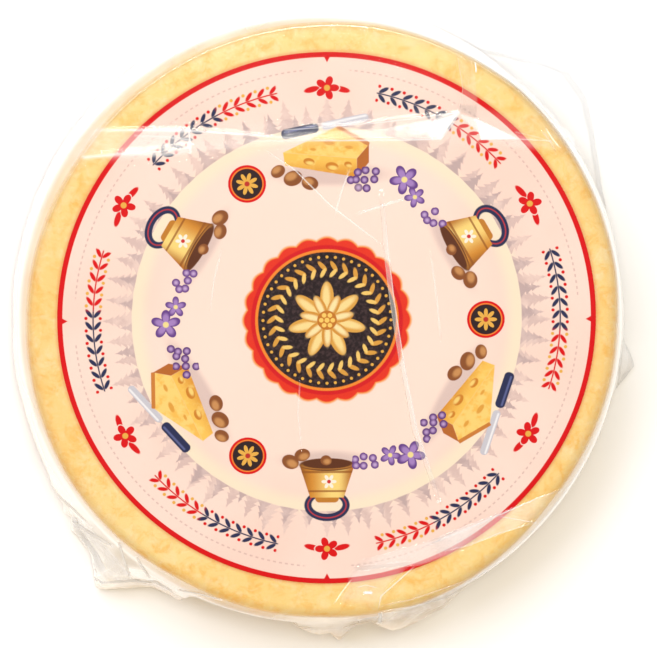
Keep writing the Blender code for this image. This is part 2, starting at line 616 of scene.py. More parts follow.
def rind_finish():
    """Pale gold rind, with painted shade towards its sides and a thin painted shadow beside the
    label.
    """
    finish = Finish("cheese_rind")
    drift = finish.clouds(70 * MM, 2.0)
    blotch = finish.clouds(9 * MM, 5.0, 0.7, 0.5)
    speck = finish.clouds(2.2 * MM, 3.0, 0.7)
    patch = finish.clouds(7 * MM, 5.0, 0.7, 0.6)
    spot = finish.spot()
    off_label = spot.vector("SUBTRACT", (*LABEL_MIDDLE, 0)).vector("MULTIPLY", (1, 1, 0))
    far = off_label.vector("LENGTH")
    # Painted shade: the rind is darker towards the left and right sides.
    aside = abs(spot.part("X")).step(0.08, 0.15)
    colour = finish.over(seen(254, 216, 132), seen(254, 224, 150), drift.rise(0.35, 0.65))
    colour = finish.over(colour, seen(252, 208, 126), aside * 0.6)
    colour = finish.over(colour, seen(250, 190, 84), blotch.rise(0.46, 0.66) * 0.80)
    colour = finish.over(colour, seen(255, 240, 196), patch.rise(0.50, 0.72) * 0.50)
    colour = finish.over(colour, seen(243, 182, 92), speck.rise(0.58, 0.78) * 0.35)
    # Painted shadow: a thin darker ring on the rind just outside the label's edge.
    paper_edge_shadow = far.step(LABEL_RADIUS + PAPER_SHADOW_WIDTH, LABEL_RADIUS)
    colour = finish.over(colour, seen(236, 160, 92), paper_edge_shadow * 0.6)
    pits = finish.clouds(1.1 * MM, 4.0, 0.65)
    bump = finish.bump(pits + blotch * 2.0, 0.25, 0.4 * MM)
    return finish.set(
        Base_Color=colour, Roughness=(speck * 0.2) + 0.42, Normal=bump, Specular_IOR_Level=0.3,
        Subsurface_Weight=0.12, Subsurface_Radius=(0.006, 0.003, 0.001),
    )


cheese = make_cheese(rind_finish())
print("cheese measures", [round(length, 4) for length in cheese.dimensions])

# %% [markdown]
# ## The label
#
# The label is a disc of printed paper, stuck a little off the middle. It is a filled
# circle, inset again and again so that it can follow the swell of the cheese, and then
# raised by the paper's thickness.

# %% Model the label
PAPER_THICKNESS = 0.2 * MM
LABEL_SIDES = 192
LABEL_RINGS = 24
SHARP_ANGLE = math.radians(40)


def make_label(finish):
    """The label: a paper disc that follows the top face."""
    deselect()
    bpy.ops.mesh.primitive_circle_add(
        vertices=LABEL_SIDES, radius=LABEL_RADIUS, fill_type="NGON",
        location=(LABEL_MIDDLE[0], LABEL_MIDDLE[1], label_low[2]),
    )
    piece = bpy.context.object
    bpy.ops.object.mode_set(mode="EDIT")
    bpy.ops.mesh.select_all(action="SELECT")
    for _ in range(LABEL_RINGS - 2):
        bpy.ops.mesh.inset(thickness=LABEL_RADIUS / LABEL_RINGS, depth=0)
    bpy.ops.mesh.poke()
    bpy.ops.mesh.select_all(action="SELECT")
    lift = {"value": (0, 0, PAPER_THICKNESS)}
    bpy.ops.mesh.extrude_region_move(TRANSFORM_OT_translate=lift)
    bpy.ops.mesh.select_all(action="SELECT")
    bpy.ops.mesh.normals_make_consistent(inside=False)
    bpy.ops.object.mode_set(mode="OBJECT")
    bpy.ops.object.transform_apply(location=True, rotation=True, scale=True)
    points = points_of(piece)
    points[:, 2] += top_swell(points[:, 0], points[:, 1])
    set_points(piece, points)
    bpy.ops.object.shade_smooth_by_angle(angle=SHARP_ANGLE)
    return finish_piece(piece, "paper_label", finish, "label")


# %% [markdown]
# The print could be a picture, but a picture blurs and can't be changed. Here it is
# drawn with shapes: each one is a mask, 1 inside and 0 outside, worked out from the
# place on the paper in millimetres, and paint is laid through the masks back to front.
#
# A shader has little room for values that wait for others. The masks therefore use only
# nodes that Cycles can work through one by one: vector and plain arithmetic, turns and
# smooth ramps. Noise is read straight from the object's coordinates.

# %% Masks for simple shapes
EDGE = 0.45


def from_middle(spot, middle):
    """Places counted from another middle."""
    return spot.vector("SUBTRACT", (*middle, 0))


def turned_about(spot, middle, degrees):
    """Places turned back about a middle, for a shape that is turned forward."""
    values = {"Vector": spot, "Center": (*middle, 0), "Angle": -math.radians(degrees)}
    return spot.finish.node("ShaderNodeVectorRotate", {"rotation_type": "Z_AXIS"}, values)


def oval(spot, middle, radii, turn=0.0, soft=EDGE):
    """1 inside an oval that is turned by so many degrees."""
    if turn:
        spot = turned_about(spot, middle, turn)
    wide, high = radii
    shrink = (1 / wide, 1 / high, 0)
    shift = (-middle[0] / wide, -middle[1] / high, 0)
    local = spot.vector("MULTIPLY_ADD", shrink, shift)
    half = soft / min(radii) / 2
    return local.vector("LENGTH").step(1 + half, 1 - half)


def bar(spot, middle, half, turn=0.0, corner=0.5, soft=EDGE):
    """1 inside a bar with round corners."""
    if turn:
        spot = turned_about(spot, middle, turn)
    away = from_middle(spot, middle).vector("ABSOLUTE")
    beyond = away.vector("SUBTRACT", (half[0] - corner, half[1] - corner, 0))
    far = beyond.vector("MAXIMUM", (0, 0, 0)).vector("LENGTH")
    return far.step(corner + soft / 2, corner - soft / 2)


def facet(spot, corners, soft=EDGE):
    """1 inside a flat shape whose corners run anticlockwise and bulge everywhere."""
    worst = None
    for (x, y), (next_x, next_y) in zip(corners, corners[1:] + corners[:1]):
        length = math.hypot(next_x - x, next_y - y)
        outward = ((next_y - y) / length, (x - next_x) / length, 0)
        beyond = spot.vector("DOT_PRODUCT", outward) - (outward[0] * x + outward[1] * y)
        worst = beyond if worst is None else worst.math("MAXIMUM", beyond)
    return worst.step(soft / 2, -soft / 2)


def between(field, low, high, soft=EDGE):
    """1 where a field lies between two values."""
    rising = field.step(low - soft / 2, low + soft / 2)
    return rising * field.step(high + soft / 2, high - soft / 2)


# %% [markdown]
# Most of the print repeats round the label, a motif for every sixth or third of the
# circle. Each could be drawn again in its own place. Turning the paper's coordinates
# instead draws all of them with one set of masks, and each stands head outwards.

# %% Helpers for what repeats round the middle
def direction_of(spot):
    """The direction of a place as seen from the middle, in radians."""
    return spot.part("Y").math("ARCTAN2", spot.part("X"))


def around(spot, count, start):
    """Places for one motif that stands count times round the middle, its head
    outwards, and the number of the motif."""
    step = math.tau / count
    first = math.radians(start)
    number = ((direction_of(spot) - first) / step).math("ROUND")
    angle = number * -step + (math.pi / 2 - first)
    values = {"Vector": spot, "Angle": angle}
    return spot.finish.node("ShaderNodeVectorRotate", {"rotation_type": "Z_AXIS"}, values), number


def petals(spot, count, inner, outer, soft=EDGE):
    """1 inside a flower whose edge swings between two radii."""
    swing = abs((direction_of(spot) * (count / 2)).math("COSINE"))
    return (swing * (outer - inner) + inner - spot.vector("LENGTH")).step(-soft / 2, soft / 2)


# %% [markdown]
# Paint goes on in layers, back to front. The drawing keeps the colour so far and the
# places on the paper, counted in millimetres from the label's middle, and each layer is
# one paint laid over the rest through a mask.

# %% Layers of paint
class Drawing:
    """Paint laid in layers, back to front, on the paper's coordinates in millimetres."""

    def __init__(self, finish, ground, middle):
        self.finish = finish
        self.colour = ground
        self.middle = middle
        self.spot = self.on_paper(finish.spot())
        self.far = self.spot.vector("LENGTH")

    def on_paper(self, spot):
        """Places in metres turned into millimetres from the label's middle."""
        x, y = self.middle
        return spot.vector("MULTIPLY_ADD", (1 / MM, 1 / MM, 0), (-x / MM, -y / MM, 0))

    def lay(self, paint, mask):
        """Paint laid over what is there, where the mask is 1."""
        self.colour = self.finish.over(self.colour, paint, mask)


# %% [markdown]
# A ring of fir trees runs round the label as a soft grey band. One tree is a triangle
# with saw-tooth sides. Its height is random, from the tree's number, and the trees in
# front are darker.

# %% Draw the ring of trees
TREE_FOOT = 98.0
TIER = 3.1


def draw_trees(drawing, count, start, least, most, paint):
    """A ring of fir trees of random height."""
    tree, number = around(drawing.spot, count, start)
    settings = {"noise_dimensions": "1D"}
    chance = drawing.finish.node("ShaderNodeTexWhiteNoise", settings, {"W": number + 0.5}, "Value")
    above = tree.part("Y") - TREE_FOOT
    tip = chance * (most - least) + least
    tier = (above / TIER).math("FRACT")
    half_width = (tip - above) * (tier * -0.22 + 0.42)
    inside = (half_width - abs(tree.part("X"))).step(-0.3, 0.3)
    drawing.lay(paint, inside * above.step(-0.2, 0.4))


def draw_band(drawing, mist):
    """A soft glow, and two rows of trees round it."""
    finish = drawing.finish
    drawing.lay(seen(251, 236, 205), drawing.far.step(88, 96) * drawing.far.step(101, 97) * 0.8)
    pale = finish.over(seen(222, 194, 186), seen(238, 210, 199), mist.step(0.4, 0.62))
    draw_trees(drawing, 64, 0, 10, 15.5, pale)
    deep = finish.over(seen(198, 174, 171), seen(218, 193, 187), mist.step(0.42, 0.64))
    draw_trees(drawing, 52, 2, 5.5, 11.5, deep)


# %% [markdown]
# Outside the trees run six sprigs, navy at one end and red at the other, with a small
# red flower between each two, and a fine broken line and a red rim close the label.

# %% Draw the outer ring
SPRIG_RADIUS = 117.5
LEAF_STEP = 6.2
LINE_RADIUS = 126.8
RIM_INNER = 132.9
NAVY = seen(40, 46, 84)
RED = seen(221, 3, 13)
GOLD = seen(236, 178, 76)
DARK = seen(46, 28, 32)


def draw_sprigs(drawing):
    """Six sprigs of leaves and berries along a circle."""
    finish = drawing.finish
    sprig, _ = around(drawing.spot, 6, 0)
    slant = sprig.part("X").math("ARCTAN2", sprig.part("Y"))
    run = slant * SPRIG_RADIUS
    off = drawing.far - SPRIG_RADIUS
    ends = abs(run).step(37, 36)
    cell = ((run / LEAF_STEP).math("FRACT") - 0.5) * LEAF_STEP
    leafy = finish.node("ShaderNodeCombineXYZ", {}, {"X": cell, "Y": abs(off), "Z": 0.0})
    turning = run.step(4, 7)
    paint = finish.over(NAVY, RED, turning)
    leaves = oval(leafy, (0.7, 2.1), (2.7, 1.0), 40).math("MAXIMUM", between(off, -0.35, 0.35))
    drawing.lay(paint, leaves * ends)
    berries = oval(leafy, (-1.7, 3.6), (0.85, 0.85)) * ends
    drawing.lay(finish.over(RED, GOLD, turning), berries)


def draw_flowers(drawing):
    """Six small red flowers between the sprigs."""
    flower, _ = around(drawing.spot, 6, 30)
    flower = from_middle(flower, (0, SPRIG_RADIUS))
    drawing.lay(RED, oval(flower, (7.6, -0.8), (4.0, 1.5), -14))
    drawing.lay(RED, oval(flower, (-7.6, -0.8), (4.0, 1.5), 14))
    drawing.lay(seen(252, 226, 214), petals(flower, 5, 3.0, 6.6))
    drawing.lay(RED, petals(flower, 5, 2.6, 6.1))
    drawing.lay(GOLD, oval(flower, (0, 0), (1.5, 1.5)))


def draw_rim(drawing):
    """The fine broken line, the red rim and its four small points."""
    far = drawing.far
    angle = direction_of(drawing.spot)
    dashes = (angle * 260).math("SINE").step(-0.3, 0.2)
    gaps = abs((angle * 2).math("SINE")).step(0.16, 0.2)
    line = between(far, LINE_RADIUS - 0.4, LINE_RADIUS + 0.4)
    drawing.lay(seen(214, 184, 176), line * dashes * gaps * 0.75)
    point, _ = around(drawing.spot, 4, 0)
    base = RIM_INNER + 0.5
    drawing.lay(RED, facet(point, [(0, base - 3.1), (1.7, base), (-1.7, base)]))
    drawing.lay(RED, far.step(RIM_INNER - 0.2, RIM_INNER + 0.2))


# %% [markdown]
# Three times round the label lies a wedge of cheese with grapes, nuts and a knife. The
# grapes are cells of a Voronoi pattern. A cell is kept whole if its middle lies inside
# an oval, so a short chain of nodes draws a whole bunch.

# %% Draw round fruit
BERRY = 4.3 * MM


class Berries:
    """A pattern of round fruit all over the label."""

    def __init__(self, drawing):
        finish = drawing.finish
        settings = {"voronoi_dimensions": "2D"}
        values = {"Vector": finish.spot(), "Scale": 1 / BERRY, "Randomness": 0.5}
        self.off = finish.node("ShaderNodeTexVoronoi", settings, values, "Distance")
        home = Field(finish, self.off.socket.node.outputs["Position"])
        self.home = drawing.on_paper(home)

    def bunch(self, drawing, count, start, middle, radii, deep, light):
        """The fruit whose middles lie in an oval, for each of the repeated motifs."""
        home, _ = around(self.home, count, start)
        inside = oval(home, middle, radii, 0, 0.01) * self.off.step(0.52, 0.45)
        paint = drawing.finish.over(light, deep, self.off.step(0.04, 0.42))
        drawing.lay(paint, inside)


# %% [markdown]
# The wedge is made of flat facets: a pale top, a golden front with holes and a dark end.
# A knife lies behind it and nuts lie before it. What lies nearest is painted last.

# %% Draw the cheese wedge and what lies round it
WEDGE_RADIUS = 85.0
WEDGE_HOLES = (((-9, -4.6), (2.8, 1.8)), ((2.5, -7), (3.2, 2.1)), ((10.5, -6), (1.9, 1.4)))
WEDGE_DENTS = (((1, 5), (2.8, 1.2)), ((11, 2.6), (2.0, 0.9)), ((-7, 1.6), (1.6, 0.7)))


def draw_nut(drawing, spot, middle, radii, turn):
    """A brown nut with a lit side."""
    drawing.lay(seen(142, 82, 42), oval(spot, middle, radii, turn))
    lit = (middle[0] - radii[0] * 0.2, middle[1] + radii[1] * 0.25)
    drawing.lay(seen(206, 146, 88), oval(spot, lit, (radii[0] * 0.6, radii[1] * 0.5), turn, 1.6))


def draw_wedge(drawing, grain, berries):
    """A wedge of cheese with a knife behind it, grapes, nuts and a shadow."""
    finish = drawing.finish
    place, _ = around(drawing.spot, 3, 90)
    place = from_middle(place, (0, WEDGE_RADIUS))
    drawing.lay(seen(222, 196, 188), oval(place, (2, -11), (27, 5.5), 0, 4) * 0.9)
    drawing.lay(seen(206, 204, 212), bar(place, (9, 15.5), (12, 2.0), 12, 1.9))
    drawing.lay(seen(244, 242, 244), bar(place, (9, 16.4), (11, 0.5), 12, 0.4))
    drawing.lay(NAVY, bar(place, (-13.5, 10.8), (9.5, 2.5), 12, 2.2))
    drawing.lay(seen(92, 100, 150), bar(place, (-13.5, 11.8), (8, 0.5), 12, 0.4, 0.8))
    top = finish.over(seen(253, 214, 122), seen(250, 194, 88), grain.step(0.42, 0.62))
    drawing.lay(top, facet(place, [(-22, 0), (15, -3), (21, 4), (5, 13)]))
    drawing.lay(seen(206, 128, 56), bar(place, (13, 8.6), (9.3, 1.0), -29.4, 0.6))
    front = finish.over(seen(222, 148, 48), seen(250, 200, 92), place.part("Y").step(-13, -2))
    front = finish.over(front, seen(255, 222, 132), grain.step(0.5, 0.7) * 0.5)
    drawing.lay(front, facet(place, [(-22, 0), (-21, -6.5), (15, -12.5), (15, -3)]))
    drawing.lay(seen(186, 106, 44), facet(place, [(15, -3), (15, -12.5), (21, -5), (21, 4)]))
    for middle, radii in WEDGE_HOLES:
        drawing.lay(seen(208, 132, 42), oval(place, middle, radii, -8))
        lip = (middle[0] + 0.5, middle[1] - 0.7)
        drawing.lay(seen(252, 214, 120), oval(place, lip, (radii[0] * 0.7, radii[1] * 0.5), -8, 1))
    for middle, radii in WEDGE_DENTS:
        drawing.lay(seen(228, 164, 66), oval(place, middle, radii, -6, 0.6))
    draw_nut(drawing, place, (-17, -13), (4.8, 3.8), 20)
    draw_nut(drawing, place, (-8.5, -15.5), (4.2, 3.4), -12)
    draw_nut(drawing, place, (-24.5, -9.5), (3.8, 3.0), 35)
    grapes = (19, WEDGE_RADIUS - 12)
    berries.bunch(drawing, 3, 90, grapes, (9, 6.2), seen(98, 58, 124), seen(190, 158, 208))


# %% [markdown]
# Between the wedges hang three cow bells on navy straps. A bell is a flat shape whose
# paint runs from a lit stripe to dark sides, so that it looks round.

# %% Draw the cow bell
BELL_RADIUS = 84.0


def draw_bell(drawing, berries):
    """A golden cow bell on a strap, with its shadow, nuts and grapes."""
    finish = drawing.finish
    place, _ = around(drawing.spot, 3, 30)
    place = from_middle(place, (0, BELL_RADIUS))
    side = place.part("X")
    drawing.lay(seen(222, 196, 188), oval(place, (1, -12.5), (20, 4.5), 0, 4) * 0.9)
    loop = oval(place, (0, 11), (11.5, 8.2)) * (1 - oval(place, (0, 10.6), (7.8, 4.8)))
    drawing.lay(NAVY, loop)
    seam = oval(place, (0, 11), (10.0, 6.8)) * (1 - oval(place, (0, 11), (9.4, 6.2)))
    drawing.lay(seen(214, 60, 60), seam * 0.8)
    drawing.lay(seen(196, 128, 46), bar(place, (0, 7), (6, 2.6), 0, 2.2))
    gold = finish.over(seen(252, 218, 128), seen(214, 142, 50), side.step(-3, 9))
    gold = finish.over(gold, seen(150, 88, 32), side.step(7, 14))
    gold = finish.over(gold, seen(184, 112, 40), side.step(-5, -13))
    body = facet(place, [(-14, -10), (14, -10), (8.5, 7), (-8.5, 7)])
    drawing.lay(gold, body)
    rise = place.part("Y")
    bands = between(rise, 3.2, 4.2).math("MAXIMUM", between(rise, -6.8, -5.6))
    drawing.lay(seen(150, 86, 32), body * bands * 0.8)
    drawing.lay(seen(112, 60, 28), oval(place, (0, -10), (14, 3.3)))
    drawing.lay(seen(176, 116, 50), oval(place, (0, -9.6), (13.2, 2.2)))
    drawing.lay(seen(96, 50, 26), oval(place, (0, -10.4), (12.6, 2.5)))
    draw_nut(drawing, place, (0.5, -12.2), (2.8, 2.6), 0)
    emblem = from_middle(place, (-1, -1.2))
    drawing.lay(seen(255, 244, 226), petals(emblem, 6, 1.2, 3.8))
    drawing.lay(seen(206, 50, 50), oval(emblem, (0, 0), (1.0, 1.0)))
    draw_nut(drawing, place, (18.5, -11.5), (4.4, 3.6), -25)
    draw_nut(drawing, place, (12.5, -15), (4.0, 3.2), 15)
    grapes = (-18.5, BELL_RADIUS - 11.5)
    berries.bunch(drawing, 3, 30, grapes, (7.2, 5.0), seen(112, 70, 140), seen(200, 170, 216))


# %% [markdown]
# The gaps between the larger pictures hold small flowers and, in turn with them, dark
# roundels with a gold flower, which pick up the colours of the middle.

# %% Draw the small flowers and roundels
def draw_small_things(drawing):
    """Gentians and dark red roundels, in turn between the larger pictures."""
    place, _ = around(drawing.spot, 3, 60)
    for middle, size in (((7, 76), 0.72), ((-2, 81), 1.0)):
        flower = from_middle(place, middle)
        drawing.lay(seen(104, 66, 140), petals(flower, 5, 3.4 * size, 7.6 * size))
        drawing.lay(seen(168, 132, 196), petals(flower, 5, 2.0 * size, 5.6 * size, 2.4))
        drawing.lay(seen(244, 224, 150), oval(flower, (0, 0), (1.5 * size, 1.5 * size)))
    place, _ = around(drawing.spot, 3, 0)
    badge = from_middle(place, (0, 80))
    far = badge.vector("LENGTH")
    drawing.lay(RED, far.step(9.7, 9.3))
    drawing.lay(seen(244, 140, 50), between(far, 7.7, 8.3))
    drawing.lay(DARK, far.step(7.8, 7.4))
    drawing.lay(GOLD, petals(badge, 8, 2.0, 5.6))
    drawing.lay(seen(190, 50, 40), oval(badge, (0, 0), (1.3, 1.3)))


# %% [markdown]
# The middle of the label is a dark medallion with a scalloped red and orange border.
# On it are a gold edelweiss, a wreath of leaves and a ring of dots.

# %% Draw the medallion
def draw_medallion(drawing, weave):
    """The dark medallion in the middle."""
    finish = drawing.finish
    spot = drawing.spot
    far = drawing.far
    reach = far - abs((direction_of(spot) * 12).math("COSINE")) * 1.8
    drawing.lay(seen(246, 160, 84), reach.step(41.6, 40.2))
    drawing.lay(seen(232, 52, 30), reach.step(40.4, 39.6))
    drawing.lay(seen(214, 22, 30), far.step(38.6, 37.8))
    drawing.lay(seen(246, 140, 46), far.step(36.4, 35.8))
    dark = finish.over(seen(36, 22, 26), seen(66, 48, 50), weave.step(0.4, 0.7))
    drawing.lay(dark, far.step(35.0, 34.4))
    dot, _ = around(spot, 48, 0)
    drawing.lay(GOLD, oval(dot, (0, 32.2), (0.75, 0.75)))
    leaf, _ = around(spot, 30, 0)
    drawing.lay(seen(222, 160, 66), oval(leaf, (0.6, 27.6), (1.1, 3.1), 38))
    drawing.lay(seen(246, 204, 112), oval(leaf, (0.6, 24.2), (1.0, 2.6), -34))
    outer, _ = around(spot, 7, 90)
    drawing.lay(seen(224, 166, 74), oval(outer, (0, 11.4), (3.4, 8.2)))
    drawing.lay(seen(250, 222, 150), oval(outer, (-0.4, 11.6), (1.8, 6.6), 0, 1.6))
    inner, _ = around(spot, 7, 90 + 180 / 7)
    drawing.lay(seen(214, 150, 60), oval(inner, (0, 7.6), (2.7, 6.0)))
    drawing.lay(seen(252, 230, 170), oval(inner, (-0.3, 7.8), (1.4, 4.8), 0, 1.4))
    drawing.lay(seen(196, 120, 40), far.step(5.2, 4.7))
    seed, _ = around(spot, 6, 0)
    drawing.lay(seen(250, 206, 104), oval(seed, (0, 2.9), (1.15, 1.15)))
    drawing.lay(seen(250, 206, 104), far.step(1.5, 1.0))


# %% [markdown]
# The whole print is now one finish. Paper is never one flat tone, so the ground drifts a
# little and has fibres that show in its gloss and its relief as well. The drawing goes
# on it from the outside in, and the last thing painted lies on top.

# %% The label's finish
def label_finish():
    """Printed paper: every part of the drawing, on pale pink."""
    finish = Finish("label_paper")
    fibre = finish.clouds(3 * MM, 4.0, 0.65)
    drift = finish.clouds(60 * MM, 2.0)
    mist = finish.clouds(9 * MM, 3.0, 0.6)
    grain = finish.clouds(5 * MM, 3.0, 0.6)
    weave = finish.clouds(1.6 * MM, 2.0)
    paper = finish.over(seen(252, 219, 204), seen(254, 226, 212), drift.step(0.35, 0.65))
    paper = finish.over(paper, seen(250, 212, 196), fibre.step(0.55, 0.8) * 0.4)
    drawing = Drawing(finish, paper, LABEL_MIDDLE)
    drawing.lay(seen(255, 229, 214), drawing.far.step(100, 70) * 0.8)
    berries = Berries(drawing)
    draw_band(drawing, mist)
    draw_sprigs(drawing)
    draw_flowers(drawing)
    draw_rim(drawing)
    draw_bell(drawing, berries)
    draw_wedge(drawing, grain, berries)
    draw_small_things(drawing)
    draw_medallion(drawing, weave)
    print("nodes in the label's material:", len(finish.nodes))
    bump = finish.bump(fibre, 0.15, 0.1 * MM)
    return finish.set(
        Base_Color=drawing.colour, Roughness=fibre * 0.1 + 0.5, Normal=bump,
        Specular_IOR_Level=0.08,
    )


label = make_label(label_finish())
print("label measures", [round(length, 4) for length in label.dimensions])

# %% [markdown]
# ## The film
#
# The film is one bag: tight over the top, hanging down the side, its spare length
# standing out as crumpled flaps and its rest gathered under the cheese. Cloth
# simulation could crumple it, but the flaps have to stand where the photograph shows
# them, so the skin is turned like the cheese and its skirt is pushed out by rule.

# %% Where the film stands away from the side
SKIRT_CORNERS = (
    # direction in degrees, how far the hem reaches out in mm, how long it hugs the side
    (0, 3, 1.5), (12, 3, 3), (22, 8, 8), (30, 14, 10), (37, 24, 11), (43, 26, 11), (50, 14, 10),
    (57, 4, 6), (72, 2, 2), (95, 2, 1), (120, 2, 1), (150, 2, 1), (178, 2, 1), (190, 4, 1),
    (203, 8, 1), (209, 10.5, 0.9), (213, 13, 0.9), (217, 14, 0.9), (220, 15.5, 0.9),
    (224, 21, 0.9), (228, 27, 0.9), (231.6, 32, 1), (234.6, 24, 1), (239, 15.5, 1),
    (244, 15, 1), (247, 13, 3), (251, 12, 5), (258, 12, 5), (262, 12, 4), (266, 11, 1),
    (270, 15, 1.1), (272, 16, 1.1), (273.8, 24, 1.2), (276.5, 17, 1.2), (279.5, 11, 1),
    (281, 16, 1), (283, 24, 1.1), (284.5, 25, 1.1), (288, 21, 1.1), (293.5, 15.5, 1),
    (298.5, 9, 1.2), (304, 5, 5), (312, 6, 8), (322, 6, 8), (330, 5, 5), (338, 8, 3),
    (344, 11, 3), (349, 17, 4), (354, 9, 2),
)


def skirt_at(degrees):
    """How far the hem reaches out in metres, corner to corner, and its hug."""
    directions, reaches, hugs = np.array(SKIRT_CORNERS, dtype=float).T
    reach = np.interp(degrees % 360, directions, reaches, period=360) * MM
    return reach, np.interp(degrees % 360, directions, hugs, period=360)


print("the hem reaches out up to", max(corner[1] for corner in SKIRT_CORNERS), "mm")

# %% [markdown]
# Crumpled film bends along straight lines and is flat between them. Soft noise would
# look like cloth, so the folds are zigzag waves at random slants, with upright pleats
# between them. The random draws are seeded, so that each run gives the same film.

# %% Folds and pleats
FOLD_SEED = 5
FOLD_COUNT = 5
SHORTEST_FOLD = 18 * MM
LONGEST_FOLD = 46 * MM
FOLD_LINE = 1.2 * MM
PLEAT_SEED = 8
PLEAT_COUNT = 64
PLEAT_LINE = 0.8


def fold_wave(direction, along):
    """Straight folds at random slants, as in crumpled film, from about -1 to 1.

    Each wave fits a whole number of times round the side. Returns the height and how
    near each point is to a fold's crest, from 0 to 1.
    """
    draw = np.random.default_rng(FOLD_SEED)
    height = np.zeros_like(along)
    crest = np.zeros_like(along)
    for _ in range(FOLD_COUNT):
        slant = draw.uniform(0, math.pi)
        length = draw.uniform(SHORTEST_FOLD, LONGEST_FOLD)
        shift = draw.uniform(0, 1)
        times = round(math.cos(slant) / length * math.tau * HALF_WIDTH)
        phase = (times * direction / math.tau + along * math.sin(slant) / length + shift) % 1
        height += (np.abs(phase * 2 - 1) * 2 - 1) * length / LONGEST_FOLD
        crest = np.maximum(crest, 1 - np.minimum(phase, 1 - phase) * length / FOLD_LINE)
    return height / FOLD_COUNT**0.5, np.clip(crest, 0, 1)


def pleat_wave(degrees):
    """Uneven upright pleats round the side, from -1 to 1, and their crests."""
    draw = np.random.default_rng(PLEAT_SEED)
    edges = np.sort(draw.uniform(0, 360, PLEAT_COUNT))
    ways = np.where(np.arange(PLEAT_COUNT) % 2, 1, -1)
    heights = draw.uniform(0.2, 1.0, PLEAT_COUNT) * ways
    height = np.interp(degrees, edges, heights, period=360)
    near = np.abs((degrees[:, None] - edges[None, 1::2] + 180) % 360 - 180).min(axis=1)
    return height, np.clip(1 - near / PLEAT_LINE, 0, 1)


print(FOLD_COUNT, "waves of folds and", PLEAT_COUNT // 2, "pleats")

# %% [markdown]
# Where film lies double or is creased it turns milky. A fold's edge is a white line,
# painted on as a highlight, and some folds get painted shade. That milkiness, with its
# painted light, is stored with the points as a colour and an amount, and the film's
# finish reads it.

# %% Milkiness and painted light stored on the points
CLEAR_HAZE = 0.004
# White, for haze and for painted highlights.
WHITE = np.array((0.53, 0.53, 0.525))
# Painted highlight, and the lit side of the flares' folds.
HIGHLIGHT_WHITE = np.array((0.86, 0.86, 0.84))
CREAM = np.array((0.70, 0.62, 0.49))
# Darker beige, for painted shade along creases and the tone of the strip at the far rim.
BEIGE = np.array((0.42, 0.35, 0.29))
# Painted tan shadow, laid on the film near the foot.
SHADOW_TAN = np.array((0.76, 0.55, 0.30))
# Tan, painted as a thin line along the bend at the edge.
EDGE_TONE = np.array((0.56, 0.43, 0.28))
SHADED = np.array((0.43, 0.42, 0.395))
# The tone of the painted sheen on the film over the side.
WALL_TONE = np.array((0.80, 0.76, 0.67))


def set_haze_and_painted_light(piece, amount, colour):
    """Stores how milky the film is at each point, painted highlights and shade included, and in
    which colour.
    """
    count = len(piece.data.vertices)
    rows = np.empty((count, 4))
    rows[:, :3] = colour
    rows[:, 3] = np.clip(amount, 0, 1)
    layer = piece.data.color_attributes.new("haze_and_painted_light", "FLOAT_COLOR", "POINT")
    layer.data.foreach_set("color", rows.ravel())


def light_passes(piece):
    """A single strip of film lets nearly all light through, so it casts no shadow."""
    piece.visible_shadow = False
    return piece


def blend(first, second, share):
    """Rows of colour between two colours."""
    return first + (second - first) * np.clip(share, 0, 1)[:, None]


# %% [markdown]
# Film seen square on is all but invisible, and seen edge-on it mirrors the white walls.
# A glass shader would bend the light as a solid block does. So the finish mixes a clear
# shader with a mirror by how far the surface is turned away, and then mixes in the
# stored milkiness with its painted light. Where the film is milky it also glows a
# little: a painted glow for light that passes through it. A second stored value says
# how many layers lie there: 1 for the doubled film over the side, 0 for the top, and
# less where a single layer lies flat.

# %% The film's finish
SINGLE_LAYER = -0.34


def film_finish(name, least_shine):
    """Clear film: transparent, mirroring more the more it is seen edge-on, and milky
    where the stored amount says so, with a faint painted glow where it is milky."""
    finish = Finish(name)
    haze_and_painted_light = finish.node("ShaderNodeAttribute", {"attribute_name": "haze_and_painted_light"}, {}, "Color")
    amount = Field(finish, haze_and_painted_light.socket.node.outputs["Alpha"])
    # Painted glow: where the film is milky it gives off a little light of the stored colour.
    finish.set(Base_Color=haze_and_painted_light, Roughness=0.35, Emission_Color=haze_and_painted_light, Emission_Strength=0.15)
    clear = finish.node("ShaderNodeBsdfTransparent")
    values = {"Color": (1, 1, 1, 1), "Roughness": 0.06}
    mirror = finish.node("ShaderNodeBsdfGlossy", {}, values)
    aside = finish.node("ShaderNodeLayerWeight", {}, {"Blend": 0.5}, "Facing")
    layers = finish.node("ShaderNodeAttribute", {"attribute_name": "layers"}, {}, "Fac")
    turned_away = aside.rise(0.40, 0.72) * (layers * 0.68 + 0.25)
    shine = turned_away + layers.rise(SINGLE_LAYER, 0.0) * least_shine
    glossy = finish.node("ShaderNodeMixShader", {}, {0: shine, 1: clear, 2: mirror})
    white = Field(finish, finish.shader.outputs[0])
    whole = finish.node("ShaderNodeMixShader", {}, {0: amount, 1: glossy, 2: white})
    finish.feed(finish.output.inputs["Surface"], whole)
    return finish.material


clear_film = film_finish("clear_film", 0.032)
folded_film = film_finish("folded_film", 0.016)
lap_film = film_finish("lap_film", 0.004)

# %% [markdown]
# The film doesn't follow the cheese's shoulder. It spans the top like a drum's skin,
# bends sharply at the edge and slopes down to the bulge of the side. That bend is what
# draws the round's outline in the photograph, so it gets its own fine steps.

# %% The section of the film
FILM_GAP = 0.9 * MM
FILM_STEPS = (2, 8, 50, 8, 12)
EDGE_BEND = 0.8 * MM
EDGE_STEEPNESS = math.radians(74)
SLOPE_BULGE = 3.6
DRUM_LIFT = 0.25 * MM


